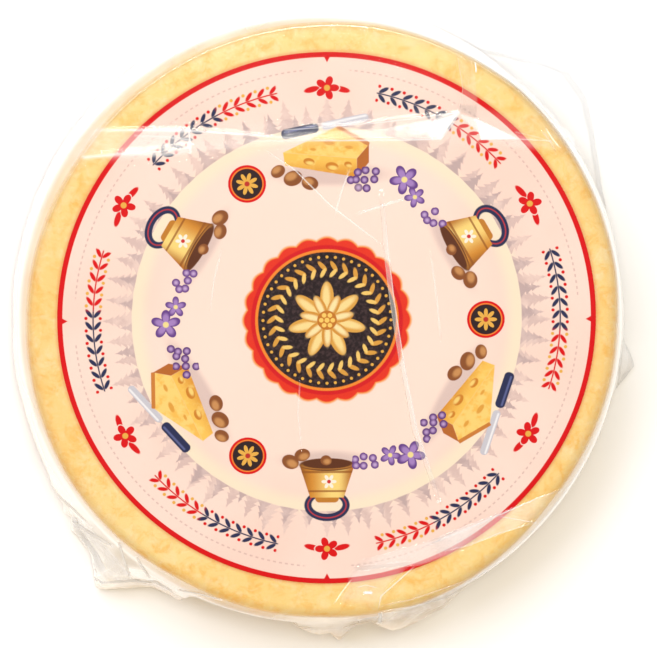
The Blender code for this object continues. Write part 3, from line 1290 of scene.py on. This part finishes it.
def film_outline():
    """The section of the film: a drum over the top, a tight bend at the edge, then down
    to the bulge of the side and back under."""
    body = outline(FILM_GAP, SHOULDER_RADIUS, FILM_STEPS)
    below = body[(body[:, 1] < SIDE_TOUCH)]
    angles = np.linspace(0, EDGE_STEEPNESS, 6)
    bend_z = HEIGHT + FILM_GAP - EDGE_BEND
    bend = np.column_stack((
        EDGE_RADIUS + EDGE_BEND * np.sin(angles), bend_z + EDGE_BEND * np.cos(angles)
    ))
    reach = np.append(np.linspace(0, EDGE_RADIUS - 0.4 * MM, 38), EDGE_RADIUS - 0.2 * MM)
    flat = np.column_stack((reach, np.full(len(reach), HEIGHT + FILM_GAP)))
    share = np.linspace(0, 1, 7)[1:-1, None]
    slope = bend[-1] + (below[0] - bend[-1]) * share
    slope[:, 0] += (SLOPE_BULGE * share * (1 - share))[:, 0] * MM
    return np.vstack((flat, bend, slope, below))


film_section = film_outline()


def lift_on_top(x, y, level):
    """How far film at this level is lifted by the swell of the cheese below it."""
    on_top = np.clip((level - HEIGHT + 2 * MM) / (2 * MM), 0, 1)
    return on_top * (top_swell(x, y) + DRUM_LIFT)


def film_height(x, y):
    """Height of the film's upper surface over a place of the top face."""
    upper = film_section[film_section[:, 1] > HEIGHT / 2]
    radius = np.hypot(x, y / LENGTHENING)
    degrees = np.degrees(np.arctan2(y / LENGTHENING, x))
    radius = radius - edge_push(degrees, np.minimum(radius, EDGE_RADIUS), HEIGHT)
    level = np.interp(radius, upper[:, 0], upper[:, 1])
    return level + lift_on_top(x, y, level)


print("rows in the film's section:", len(film_section))

# %% [markdown]
# The skin starts as that section, turned. Then its skirt is pushed outwards, most at the
# hem, and bent by the folds and pleats. Where the table says that the hem hugs the side
# for long, the spare film leaves the foot low down and lies on the floor as a flat tail.

# %% Shape the skirt
TAIL_STARTS = 1.5
TAIL_SPAN = 3
UNDERSIDE = 4 * MM
GATHERED_RADIUS = 100 * MM


def film_places(piece, direction, ring):
    """What the rules for the film need to know about each of its points."""
    x, y, z = points_of(piece).T
    degrees = np.degrees(direction) % 360
    steps = np.concatenate(([0], np.cumsum(np.hypot(*np.diff(film_section, axis=0).T))))
    top_z = HEIGHT - SHOULDER_RADIUS
    reach, hug = skirt_at(degrees)
    folds, crest = fold_wave(direction, steps[ring])
    pleats, pleat_crest = pleat_wave(degrees)
    return SimpleNamespace(
        x=x, y=y, z=z, radius=np.hypot(x, y), degrees=degrees, reach=reach, hug=hug,
        drop=np.clip((top_z - z) / top_z, 0, 1), folds=folds, pleats=pleats,
        crest=np.maximum(crest, pleat_crest),
        flat_tail=np.clip((hug - TAIL_STARTS) / TAIL_SPAN, 0, 1),
    )


def shape_film(at):
    """How far each point moves out, and the points in their new places."""
    gathered = (at.radius - GATHERED_RADIUS) / (HALF_WIDTH - GATHERED_RADIUS)
    inner = np.clip(gathered, 0, 1) ** 1.5
    under = at.z < UNDERSIDE
    out = at.reach * np.where(under, inner, at.drop**at.hug)
    loose = at.drop * np.where(under, inner, 1) * (1 - 0.7 * at.flat_tail)
    folded = at.folds * (0.35 * MM + 0.20 * at.reach)
    out += loose * (folded + at.pleats * (0.7 * MM + 0.10 * at.reach))
    out = np.maximum(out, -0.5 * MM) + edge_push(at.degrees, at.radius, at.z)
    spread = 1 + out / np.maximum(at.radius, 0.05)
    lifted = at.z + at.folds * at.drop * (1 - at.drop) * 0.35 * at.reach * (1 - at.flat_tail)
    lifted = lifted + lift_on_top(at.x, at.y, at.z)
    lifted = np.maximum(lifted, 0.1 * MM)
    return out, np.column_stack((at.x * spread, at.y * spread * LENGTHENING, lifted))


# %% [markdown]
# What the eye reads as film is mostly its milkiness, and much of that is painted light.
# Flares are milky because they are crumpled, and their folds get painted highlights and
# painted shade. The side is milky because the film lies double there, and a painted
# sheen whitens it further. The bend at the edge is painted as a thin tan line. Near the
# foot at the bottom of the picture the film is painted with the warm tone of the shadow,
# and two crescents there and a line below the edge are painted highlights.

# %% Milkiness and painted light on the skin
WALL_HAZE_AND_SHEEN = (
    # direction in degrees, how milky the film over the side is, whitened further by a painted
    # sheen
    (0, 0.9), (20, 0.9), (60, 0.85), (90, 0.9), (180, 0.95), (215, 0.95), (232, 0.9),
    (243, 0.65), (250, 0.3), (262, 0.15), (296, 0.15), (306, 0.5), (325, 0.65),
    (338, 0.8), (350, 0.85),
)
FOOT_SHADOW_TINT = (
    # direction in degrees, how strongly the painted tan shadow lies on the film
    (228, 0), (240, 0.5), (250, 0.6), (262, 0.6), (270, 0.5), (290, 0.45), (305, 0.3),
    (322, 0),
)
CRESCENT_HIGHLIGHT = (
    # direction in degrees, how strong the painted highlight of the bright crescents is
    (256, 0), (265, 0.55), (271, 0.7), (275, 0.55), (279, 0.1), (283, 0.35), (291, 0),
)
RIM_HIGHLIGHT = (
    # direction in degrees, how strong the painted highlight of the bright line below the edge is
    (296, 0), (303, 0.7), (318, 0.9), (328, 0.9), (334, 0),
)
RIM_LEVEL = 60 * MM
TAIL_LEVEL = 24 * MM


def skirt_haze_and_painted_light(at, out):
    """How milky the skirt is at each point, and in which colour: its folds get painted highlight
    and painted shade by their height, and the foot a painted tan shadow.
    """
    hanging = at.drop**0.5 * (1 - at.flat_tail)
    flared = np.clip(at.reach / (20 * MM), 0, 1) * hanging
    lines = at.crest * hanging
    amount = CLEAR_HAZE + flared * (0.62 + 0.24 * at.folds) + lines * (0.03 + 0.09 * flared)
    colour = blend(SHADED, HIGHLIGHT_WHITE, 0.35 + 0.8 * at.folds + 0.6 * lines)
    near_side = np.clip(1 - (out - 2 * MM) / (9 * MM), 0, 1)
    colour = blend(colour, CREAM, near_side * flared)
    colour = blend(colour, SHADOW_TAN, by_direction(FOOT_SHADOW_TINT, at.degrees) * (1 - lines))
    return amount, colour


def with_wall_haze_and_painted_light(at, amount, colour):
    """Adds the milky wall with a painted sheen, the painted tan line of the bend above it, and the
    painted highlights of the rim line and crescents.
    """
    beyond = np.clip((at.radius - EDGE_RADIUS - 0.7 * MM) / (0.8 * MM), 0, 1)
    high = np.clip((at.z - 20 * MM) / (36 * MM), 0, 1)
    # Painted sheen: the film over the side is whitened beyond its haze.
    wall = by_direction(WALL_HAZE_AND_SHEEN, at.degrees) * beyond * high
    colour = blend(colour, WALL_TONE, wall * 2)
    amount = np.maximum(amount, wall * (0.38 + 0.08 * at.folds))
    # A thin tan line painted along the bend.
    off_bend = np.abs(at.radius - EDGE_RADIUS - 0.4 * MM) / (0.9 * MM)
    bend = np.clip(1 - off_bend, 0, 1) * high
    amount = np.maximum(amount, bend * 0.45)
    colour = blend(colour, EDGE_TONE, bend * 1.6 - beyond)
    # Painted highlights: a bright line below the edge and two bright crescents.
    on_rim = np.clip(1 - np.abs(at.z - RIM_LEVEL) / (3 * MM), 0, 1)
    above_foot = np.clip((at.z - 26 * MM) / (30 * MM), 0, 1)
    rim = by_direction(RIM_HIGHLIGHT, at.degrees) * on_rim
    rim = np.maximum(rim, by_direction(CRESCENT_HIGHLIGHT, at.degrees) * above_foot) * beyond
    return np.maximum(amount, rim), blend(colour, HIGHLIGHT_WHITE, rim * 2)


def film_layers(at):
    """1 where film lies double over the side, 0 on the top, less on the flat tail."""
    edge = np.clip((at.radius - EDGE_RADIUS - 0.8 * MM) / (0.6 * MM), 0, 1)
    single = -SINGLE_LAYER * at.flat_tail * (at.z < TAIL_LEVEL)
    return edge * by_direction(WALL_HAZE_AND_SHEEN, at.degrees) * (1 - single) - single


# %% [markdown]
# Now the skin itself. It has a column for every half degree, because a fold is only a
# few millimetres wide, and its seam and poles are closed at the end.

# %% Model the film's main skin
FILM_SEGMENTS = 720


def make_film():
    """The film: a closed skin round cheese and label, with its spare length flared."""
    piece, direction, ring = turn_section(FILM_SEGMENTS, film_section)
    at = film_places(piece, direction, ring)
    out, points = shape_film(at)
    set_points(piece, points)
    amount, colour = with_wall_haze_and_painted_light(at, *skirt_haze_and_painted_light(at, out))
    set_haze_and_painted_light(piece, amount, colour)
    layers = piece.data.attributes.new("layers", "FLOAT", "POINT")
    layers.data.foreach_set("value", film_layers(at))
    close_round(piece)
    return finish_piece(piece, "film", clear_film, "film_wrap")


film = make_film()
print("film measures", [round(length, 4) for length in film.dimensions])

# %% [markdown]
# ## Folds on the top
#
# A lap of spare film crosses the upper part of the label from rim to rim. It could be
# folded out of the skin itself, but that needs a very fine mesh everywhere. So each lap
# or crease is a fine strip of its own that lies on the skin: a grid is laid along a
# line, raised into a ridge and given thickness.

# %% A helper for strips of film
STRIP_THICKNESS = 0.05 * MM


def film_strip(name, columns, rows, place):
    """A closed thin sheet. place takes two rows of numbers from 0 to 1, along and
    across, and returns the points, the milkiness with its painted highlights, and its colour."""
    deselect()
    bpy.ops.mesh.primitive_grid_add(x_subdivisions=columns, y_subdivisions=rows, size=1)
    piece = bpy.context.object
    flat = points_of(piece)
    points, amount, colour = place(flat[:, 0] + 0.5, flat[:, 1] + 0.5)
    set_points(piece, points)
    set_haze_and_painted_light(piece, amount, colour)
    bpy.ops.object.shade_smooth()
    skin = piece.modifiers.new("thickness", "SOLIDIFY")
    skin.thickness = STRIP_THICKNESS
    skin.offset = 1.0
    return light_passes(finish_piece(piece, name, lap_film, None))


# %% [markdown]
# The strips are placed by lines drawn over the picture. These helpers walk along such a
# line, raise a ridge over it, and find the point of the film that shows at a place.

# %% Helpers for lines of the picture
def along_line(line, share):
    """Places on a line of (across, down) picture places, by share of its length."""
    line = np.array(line, dtype=float)
    lengths = np.concatenate(([0], np.cumsum(np.hypot(*np.diff(line, axis=0).T))))
    at = share * lengths[-1]
    return np.interp(at, lengths, line[:, 0]), np.interp(at, lengths, line[:, 1])


def ridge(x, y, line, heights, above, below):
    """A ridge along a line in the picture: its height falls to nothing over the widths
    above and below the line. heights and widths are given at the line's points."""
    across, down = np.array(line, dtype=float).T
    crest_down = np.interp(x, across, down)
    crest = np.interp(x, across, heights, left=0, right=0)
    upper = np.interp(x, across, above)
    lower = np.interp(x, across, below)
    away = y - crest_down
    return crest * np.clip(1 - np.where(away < 0, -away / upper, away / lower), 0, 1)


def on_film(across, down, lift):
    """Points just above the film, where the camera sees these places of the picture,
    and how level the film is there, from 0 to 1."""
    eye = camera.matrix_world.translation
    points = shown_at(across, down, 0.0)
    levels = []
    for row in points:
        way = (Vector(row) - eye).normalized()
        hit, place, normal, _ = film.ray_cast(eye, way)
        if hit:
            row[:] = place - way * lift
        levels.append(normal.z)
    return points, np.array(levels)


# %% [markdown]
# The lap is a band between two lines. Its ridges give it form. Its milkiness is painted
# as the light falls on it: hazy flat facets, of which two near the right end are painted
# nearly white as reflections of the lights, and painted highlights along the folds.

# %% Lines of the lap
LAP_UPPER = (
    (62, 122), (135, 122), (195, 122), (236, 122), (300, 118), (397, 108), (460, 104),
    (530, 112), (575, 132),
)
LAP_LOWER = (
    (62, 166), (135, 165), (195, 160), (262, 150), (340, 148), (440, 148), (480, 150),
    (530, 152), (575, 156),
)
LAP_RIDGES = (
    # points of the picture, heights in mm, widths above and below in picture elements
    (((70, 131), (110, 131), (150, 131), (192, 131), (240, 135), (285, 139)),
     (0, 0.3, 0.3, 0.3, 0.2, 0), (3.5, 4, 5, 5, 5, 4), (9, 9, 10, 11, 7, 4)),
    (((80, 158), (117, 155), (150, 154), (189, 149), (196, 147)),
     (0, 0.25, 0.3, 0.3, 0), (6, 7, 8, 8, 4), (3, 3, 3, 3, 3)),
    (((284, 139), (340, 140), (386, 139), (441, 139), (459, 113)),
     (0.1, 0.15, 0.2, 0.45, 0.15), (8, 10, 10, 23, 2), (2.5, 2.5, 3, 3, 2)),
    (((474, 121), (478, 139), (481, 140), (516, 139), (550, 141), (558, 142)),
     (0.1, 0.7, 0.7, 0.2, 0.2, 0), (2, 20, 20, 3, 4, 4), (2, 3, 3, 3, 3, 3)),
    (((300, 127), (340, 126), (397, 119), (460, 113)),
     (0.1, 0.3, 0.3, 0.2), (2.5, 3, 3, 3), (5, 5, 5, 5)),
    (((478, 119), (510, 128), (540, 138), (556, 143)),
     (0.1, 0.3, 0.3, 0.1), (3, 3, 3, 3), (3, 3, 3, 3)),
)
LAP_FACETS = (
    # corners in the picture, milkiness at the left end, at the right end, soft edge; the milkiest
    # facets are painted reflections of the lights
    (((68, 127), (190, 129), (190, 152), (165, 156), (85, 160), (62, 150)), 0.16, 0.30, 5),
    (((190, 130), (300, 136), (300, 142), (190, 152)), 0.14, 0.10, 3),
    (((285, 129), (374, 123), (457, 113), (441, 139), (284, 140)), 0.08, 0.10, 2),
    (((384, 128.5), (459, 112), (441, 139)), 0.05, 0.40, 1.6),
    (((412, 124), (459, 112), (441, 139)), 0.0, 0.85, 4),
    (((455, 112), (476, 119), (482, 140), (478, 139), (462, 118)), 0.30, 0.50, 1.6),
    (((476, 118.5), (517, 138.5), (481, 139.5)), 0.97, 0.75, 1.6),
    (((481, 134), (516, 133), (556, 146), (520, 150)), 0.16, 0.10, 4),
)
LAP_HIGHLIGHT_STREAKS = (
    # points of the picture, width in picture elements, strength of the painted highlight at the
    # start, at the end
    (((72, 129), (110, 130), (150, 130), (190, 131)), 5.5, 0.25, 0.50),
    (((135, 135.5), (165, 137), (190, 140)), 3, 0.30, 0.60),
    (((84, 157.5), (117, 154.5), (165, 154.5), (190, 150)), 5.5, 0.60, 0.35),
    (((189, 131), (190, 142), (190, 153)), 3, 0.90, 0.70),
    (((190, 131), (240, 134), (290, 138), (335, 140)), 3, 0.55, 0.30),
    (((250, 141), (340, 140.5), (400, 140), (441, 139)), 2.6, 0.35, 0.95),
    (((285, 130), (330, 127), (374, 123), (420, 118), (458, 112.5)), 2.0, 0.40, 0.80),
    (((441, 139), (450, 128), (459, 114)), 2.0, 0.80, 0.60),
    (((481, 139.5), (516, 139), (552, 141)), 1.8, 0.70, 0.35),
    (((516, 132), (540, 138), (558, 145)), 1.8, 0.30, 0.30),
)
print("the lap has", len(LAP_FACETS), "facets and", len(LAP_HIGHLIGHT_STREAKS), "streaks")

# %% [markdown]
# Facets and streaks lie over each other like sheets of tracing paper, so what is still
# clear is multiplied. The strip has a face on both sides, and the square root shares
# the haze and painted highlights between the two.

# %% Model the lap that crosses the label
LAP_COLUMNS = 700
LAP_ROWS = 70
LAP_LIFT = 0.12 * MM
LAP_CLEAR = 0.93


def within(x, y, corners, soft):
    """1 inside a flat shape that bulges everywhere, 0 outside, with a soft edge."""
    corners = np.array(corners, dtype=float)
    following = np.roll(corners, -1, axis=0)
    turn = np.sign(np.sum(corners[:, 0] * following[:, 1] - following[:, 0] * corners[:, 1]))
    depth = np.full(x.shape, np.inf)
    for (start_x, start_y), (end_x, end_y) in zip(corners, following):
        wide, high = end_x - start_x, end_y - start_y
        inward = (wide * (y - start_y) - high * (x - start_x)) / math.hypot(wide, high)
        depth = np.minimum(depth, turn * inward)
    return np.clip(depth / soft + 0.5, 0, 1)


def near_line(x, y, line, width):
    """1 on a line, falling to 0 at half its width."""
    away = np.full(x.shape, np.inf)
    for (start_x, start_y), (end_x, end_y) in zip(line, line[1:]):
        wide, high = end_x - start_x, end_y - start_y
        share = ((x - start_x) * wide + (y - start_y) * high) / (wide**2 + high**2)
        share = np.clip(share, 0, 1)
        away = np.minimum(away, np.hypot(x - start_x - share * wide, y - start_y - share * high))
    return np.clip(1 - 2 * away / width, 0, 1)


def lap_haze_and_painted_light(x, y):
    """How milky the lap is, with its painted reflections and highlights: its facets and its bright
    folds.
    """
    clear = np.full(x.shape, LAP_CLEAR)
    for corners, first, last, soft in LAP_FACETS:
        columns = [corner[0] for corner in corners]
        amount = np.interp(x, (min(columns), max(columns)), (first, last))
        clear *= 1 - amount * within(x, y, corners, soft)
    for line, width, first, last in LAP_HIGHLIGHT_STREAKS:
        amount = np.interp(x, (line[0][0], line[-1][0]), (first, last))
        clear *= 1 - amount * near_line(x, y, line, width)
    return 1 - np.sqrt(clear)


def place_lap(s, t):
    """The lap: a band from rim to rim with sloping facets."""
    upper = np.array(LAP_UPPER, dtype=float)
    lower = np.array(LAP_LOWER, dtype=float)
    across = upper[0, 0] + s * (upper[-1, 0] - upper[0, 0])
    top = np.interp(across, upper[:, 0], upper[:, 1])
    foot = np.interp(across, lower[:, 0], lower[:, 1])
    down = foot + (top - foot) * t
    height = np.zeros_like(s)
    for line, heights, above, below in LAP_RIDGES:
        height = np.maximum(height, ridge(across, down, line, heights, above, below))
    height *= MM
    level = HEIGHT + 1.3 * MM
    for _ in range(2):
        points = shown_at(across, down, level)
        level = film_height(points[:, 0], points[:, 1]) + LAP_LIFT + height
    points[:, 2] = level
    from_ends = np.minimum(s * 30, (1 - s) * 30)
    from_edges = np.minimum(t, 1 - t) * 5
    fade = np.clip(np.minimum(from_ends, from_edges), 0, 1)
    return points, lap_haze_and_painted_light(across, down) * fade, WHITE


lap = film_strip("film_lap", LAP_COLUMNS, LAP_ROWS, place_lap)
print("lap measures", [round(length, 4) for length in lap.dimensions])

# %% [markdown]
# The rest of the folds are lighter: creases across the label, with painted highlights and
# painted shade lines, a narrow strip at the far rim, an overlap at the near rim and the
# painted highlights on the folds of the crumpled ends. Each is a sheet between two lines
# of the picture, laid on the film where the camera sees it.

# %% Lines of the creases and overlaps
CREASES = (
    # (points across the picture), width in picture elements, milkiness, colour; thin white
    # and cream creases are painted highlights, beige ones painted shade lines, wide faint ones
    # haze
    (((381, 186), (386, 250), (392, 300), (403, 370), (415, 430), (440, 505)), 6, 0.13, WHITE),
    (((383, 190), (388, 250), (394, 300), (405, 370), (417, 430), (442, 505)), 1.6, 0.30, WHITE),
    (((379, 190), (384, 250), (390, 300), (401, 370), (412, 430), (437, 500)), 1.5, 0.22, BEIGE),
    (((262, 148), (295, 170), (330, 205), (386, 248)), 1.8, 0.28, WHITE),
    (((350, 168), (342, 190), (334, 218)), 2.2, 0.20, WHITE),
    (((356, 214), (382, 206), (406, 198)), 3.0, 0.20, WHITE),
    (((222, 248), (214, 280), (210, 312)), 2.0, 0.16, WHITE),
    (((300, 380), (298, 415), (302, 452)), 2.0, 0.14, WHITE),
    (((430, 250), (437, 300), (441, 342)), 2.0, 0.16, WHITE),
    (((475, 62), (476, 68), (476, 73)), 1.6, 0.9, WHITE),
    (((457, 53), (463, 89), (459, 112)), 1.4, 0.30, BEIGE),
    (((545, 127), (552, 138), (560, 148)), 1.6, 0.45, CREAM),
    (((541, 130), (550, 141), (556, 152)), 1.6, 0.30, BEIGE),
    (((352, 579), (342, 592), (334, 604)), 1.8, 0.45, CREAM),
    (((416, 565), (397, 582), (381, 596), (378, 611)), 1.6, 0.35, WHITE),
    (((363, 593), (368, 592.6), (373, 593)), 3.4, 1.0, WHITE),
    (((356, 588), (366, 585), (378, 588)), 1.2, 0.30, WHITE),
    (((420, 548), (460, 532), (497, 516), (540, 497), (562, 490)), 1.6, 0.45, WHITE),
    (((440, 552), (470, 545), (497, 534), (536, 522)), 1.6, 0.30, WHITE),
    (((497, 516), (515, 519), (536, 523)), 1.4, 0.30, WHITE),
    (((380, 606), (410, 600), (440, 590), (468, 580)), 1.4, 0.35, BEIGE),
    (((376, 612), (410, 607), (446, 598), (472, 583)), 1.4, 0.35, WHITE),
    (((380, 612), (380.5, 617), (379, 624)), 4.5, 0.9, WHITE),
    (((28, 432), (40, 465), (54, 492), (73, 509), (92, 528)), 2.6, 0.75, WHITE),
    (((70, 519), (90, 533), (114, 547)), 3.6, 0.85, WHITE),
    (((118, 540), (124, 560), (130, 578)), 3.0, 0.75, WHITE),
    (((136, 556), (144, 570), (150, 578)), 2.6, 0.6, WHITE),
    (((84, 562), (94, 578), (104, 584)), 3.0, 0.6, WHITE),
    (((100, 583), (130, 581), (156, 582), (176, 594)), 3.0, 0.65, WHITE),
    (((176, 590), (200, 594), (222, 600)), 2.0, 0.5, WHITE),
)
SHEETS = (
    # one edge, the other edge, milkiness, colour
    (((457, 53), (463, 89), (459, 112)), ((474, 63), (478, 99), (477, 119)), 0.09, BEIGE),
    (((352, 566), (346, 585), (336, 604)), ((416, 560), (390, 585), (378, 610)), 0.11, WHITE),
    (((360, 560), (430, 540), (500, 512)), ((352, 572), (420, 566), (470, 548)), 0.16, WHITE),
    (((430, 540), (500, 512), (562, 488)), ((436, 556), (498, 536), (540, 518)), 0.16, WHITE),
    (((62, 505), (75, 540), (97, 584)), ((92, 530), (118, 560), (135, 580)), 0.28, WHITE),
)
print(len(CREASES), "creases and", len(SHEETS), "overlaps")

# %% [markdown]
# A crease that runs over the edge would show as a bright wall from the side. So a sheet
# fades where the film under it is steep, and what is steeper still is deleted.

# %% Model the creases and overlaps
CREASE_LIFT = 0.25 * MM
CREASE_GRID = (48, 6)
SHEET_GRID = (40, 24)
STEEP = 0.15


def drop_points(piece, chosen):
    """Deletes the chosen points, with the faces that use them."""
    bpy.ops.object.mode_set(mode="EDIT")
    bpy.ops.mesh.select_mode(type="VERT")
    bpy.ops.mesh.select_all(action="DESELECT")
    bpy.ops.object.mode_set(mode="OBJECT")
    piece.data.vertices.foreach_set("select", chosen)
    bpy.ops.object.mode_set(mode="EDIT")
    bpy.ops.mesh.delete(type="VERT")
    bpy.ops.mesh.select_all(action="SELECT")
    bpy.ops.mesh.delete_loose(use_verts=True, use_edges=True, use_faces=False)
    bpy.ops.object.mode_set(mode="OBJECT")


def crease_profile(t):
    """How strong the haze and painted light of a crease is across it: most along its middle."""
    return 1 - (2 * t - 1) ** 2


def overlap_profile(t):
    """How strong the haze of an overlap is across it: the same all over, but for its edges."""
    return np.clip(np.minimum(t, 1 - t) * 9, 0, 1)


def add_sheet(first, second, amount, colour, profile, grid):
    """A small sheet between two lines of the picture, its haze and painted light stronger inside
    than at its edges.
    """
    deselect()
    bpy.ops.mesh.primitive_grid_add(x_subdivisions=grid[0], y_subdivisions=grid[1], size=1)
    piece = bpy.context.object
    s, t = (points_of(piece)[:, :2] + 0.5).T
    x, y = along_line(first, s)
    other_x, other_y = along_line(second, s)
    points, level = on_film(x + (other_x - x) * t, y + (other_y - y) * t, CREASE_LIFT)
    set_points(piece, points)
    fade = np.clip(np.minimum(s, 1 - s) * 5, 0, 1) * np.clip((level - 0.12) / 0.15, 0, 1)
    set_haze_and_painted_light(piece, amount * fade * profile(t), colour)
    drop_points(piece, level < STEEP)
    bpy.ops.object.shade_smooth()
    skin = piece.modifiers.new("thickness", "SOLIDIFY")
    skin.thickness = STRIP_THICKNESS
    bpy.ops.object.modifier_apply(modifier=skin.name)
    return piece


def beside(line, width):
    """A line of the picture moved sideways by half a width, to either side."""
    line = np.array(line, dtype=float)
    way = np.gradient(line, axis=0)
    side = np.column_stack((-way[:, 1], way[:, 0])) / np.hypot(*way.T)[:, None]
    return line - side * width / 2, line + side * width / 2


def make_creases():
    """All creases and overlapping sheets, joined into one piece."""
    bpy.context.view_layer.update()
    parts = []
    for line, width, amount, colour in CREASES:
        first, second = beside(line, width)
        parts.append(add_sheet(first, second, amount, colour, crease_profile, CREASE_GRID))
    for first, second, amount, colour in SHEETS:
        parts.append(add_sheet(first, second, amount, colour, overlap_profile, SHEET_GRID))
    pick(*parts)
    bpy.ops.object.join()
    piece = finish_piece(parts[0], "film_creases", folded_film, None)
    return light_passes(piece)


creases = make_creases()
print("creases measure", [round(length, 4) for length in creases.dimensions])

# %% [markdown]
# ## The floor
#
# The sweep is one wide plain sheet. It lies a hair below the cheese, so that the two
# never share a plane. It isn't part of the object, so it rides on no body.

# %% Floor
FLOOR_SIZE = 3.0
FLOOR_DROP = 0.4 * MM
FLOOR_PAINT = (0.68, 0.68, 0.68, 1)


def make_floor():
    """The white sweep under the round."""
    finish = Finish("white_sweep")
    finish.set(Base_Color=FLOOR_PAINT, Roughness=0.9)
    deselect()
    bpy.ops.mesh.primitive_plane_add(size=FLOOR_SIZE, location=(0, 0, -FLOOR_DROP))
    floor = bpy.context.object
    floor.name = "floor"
    floor.data.materials.append(finish.material)
    return floor


floor = make_floor()
print("floor is", round(floor.dimensions.x, 2), "metres wide")
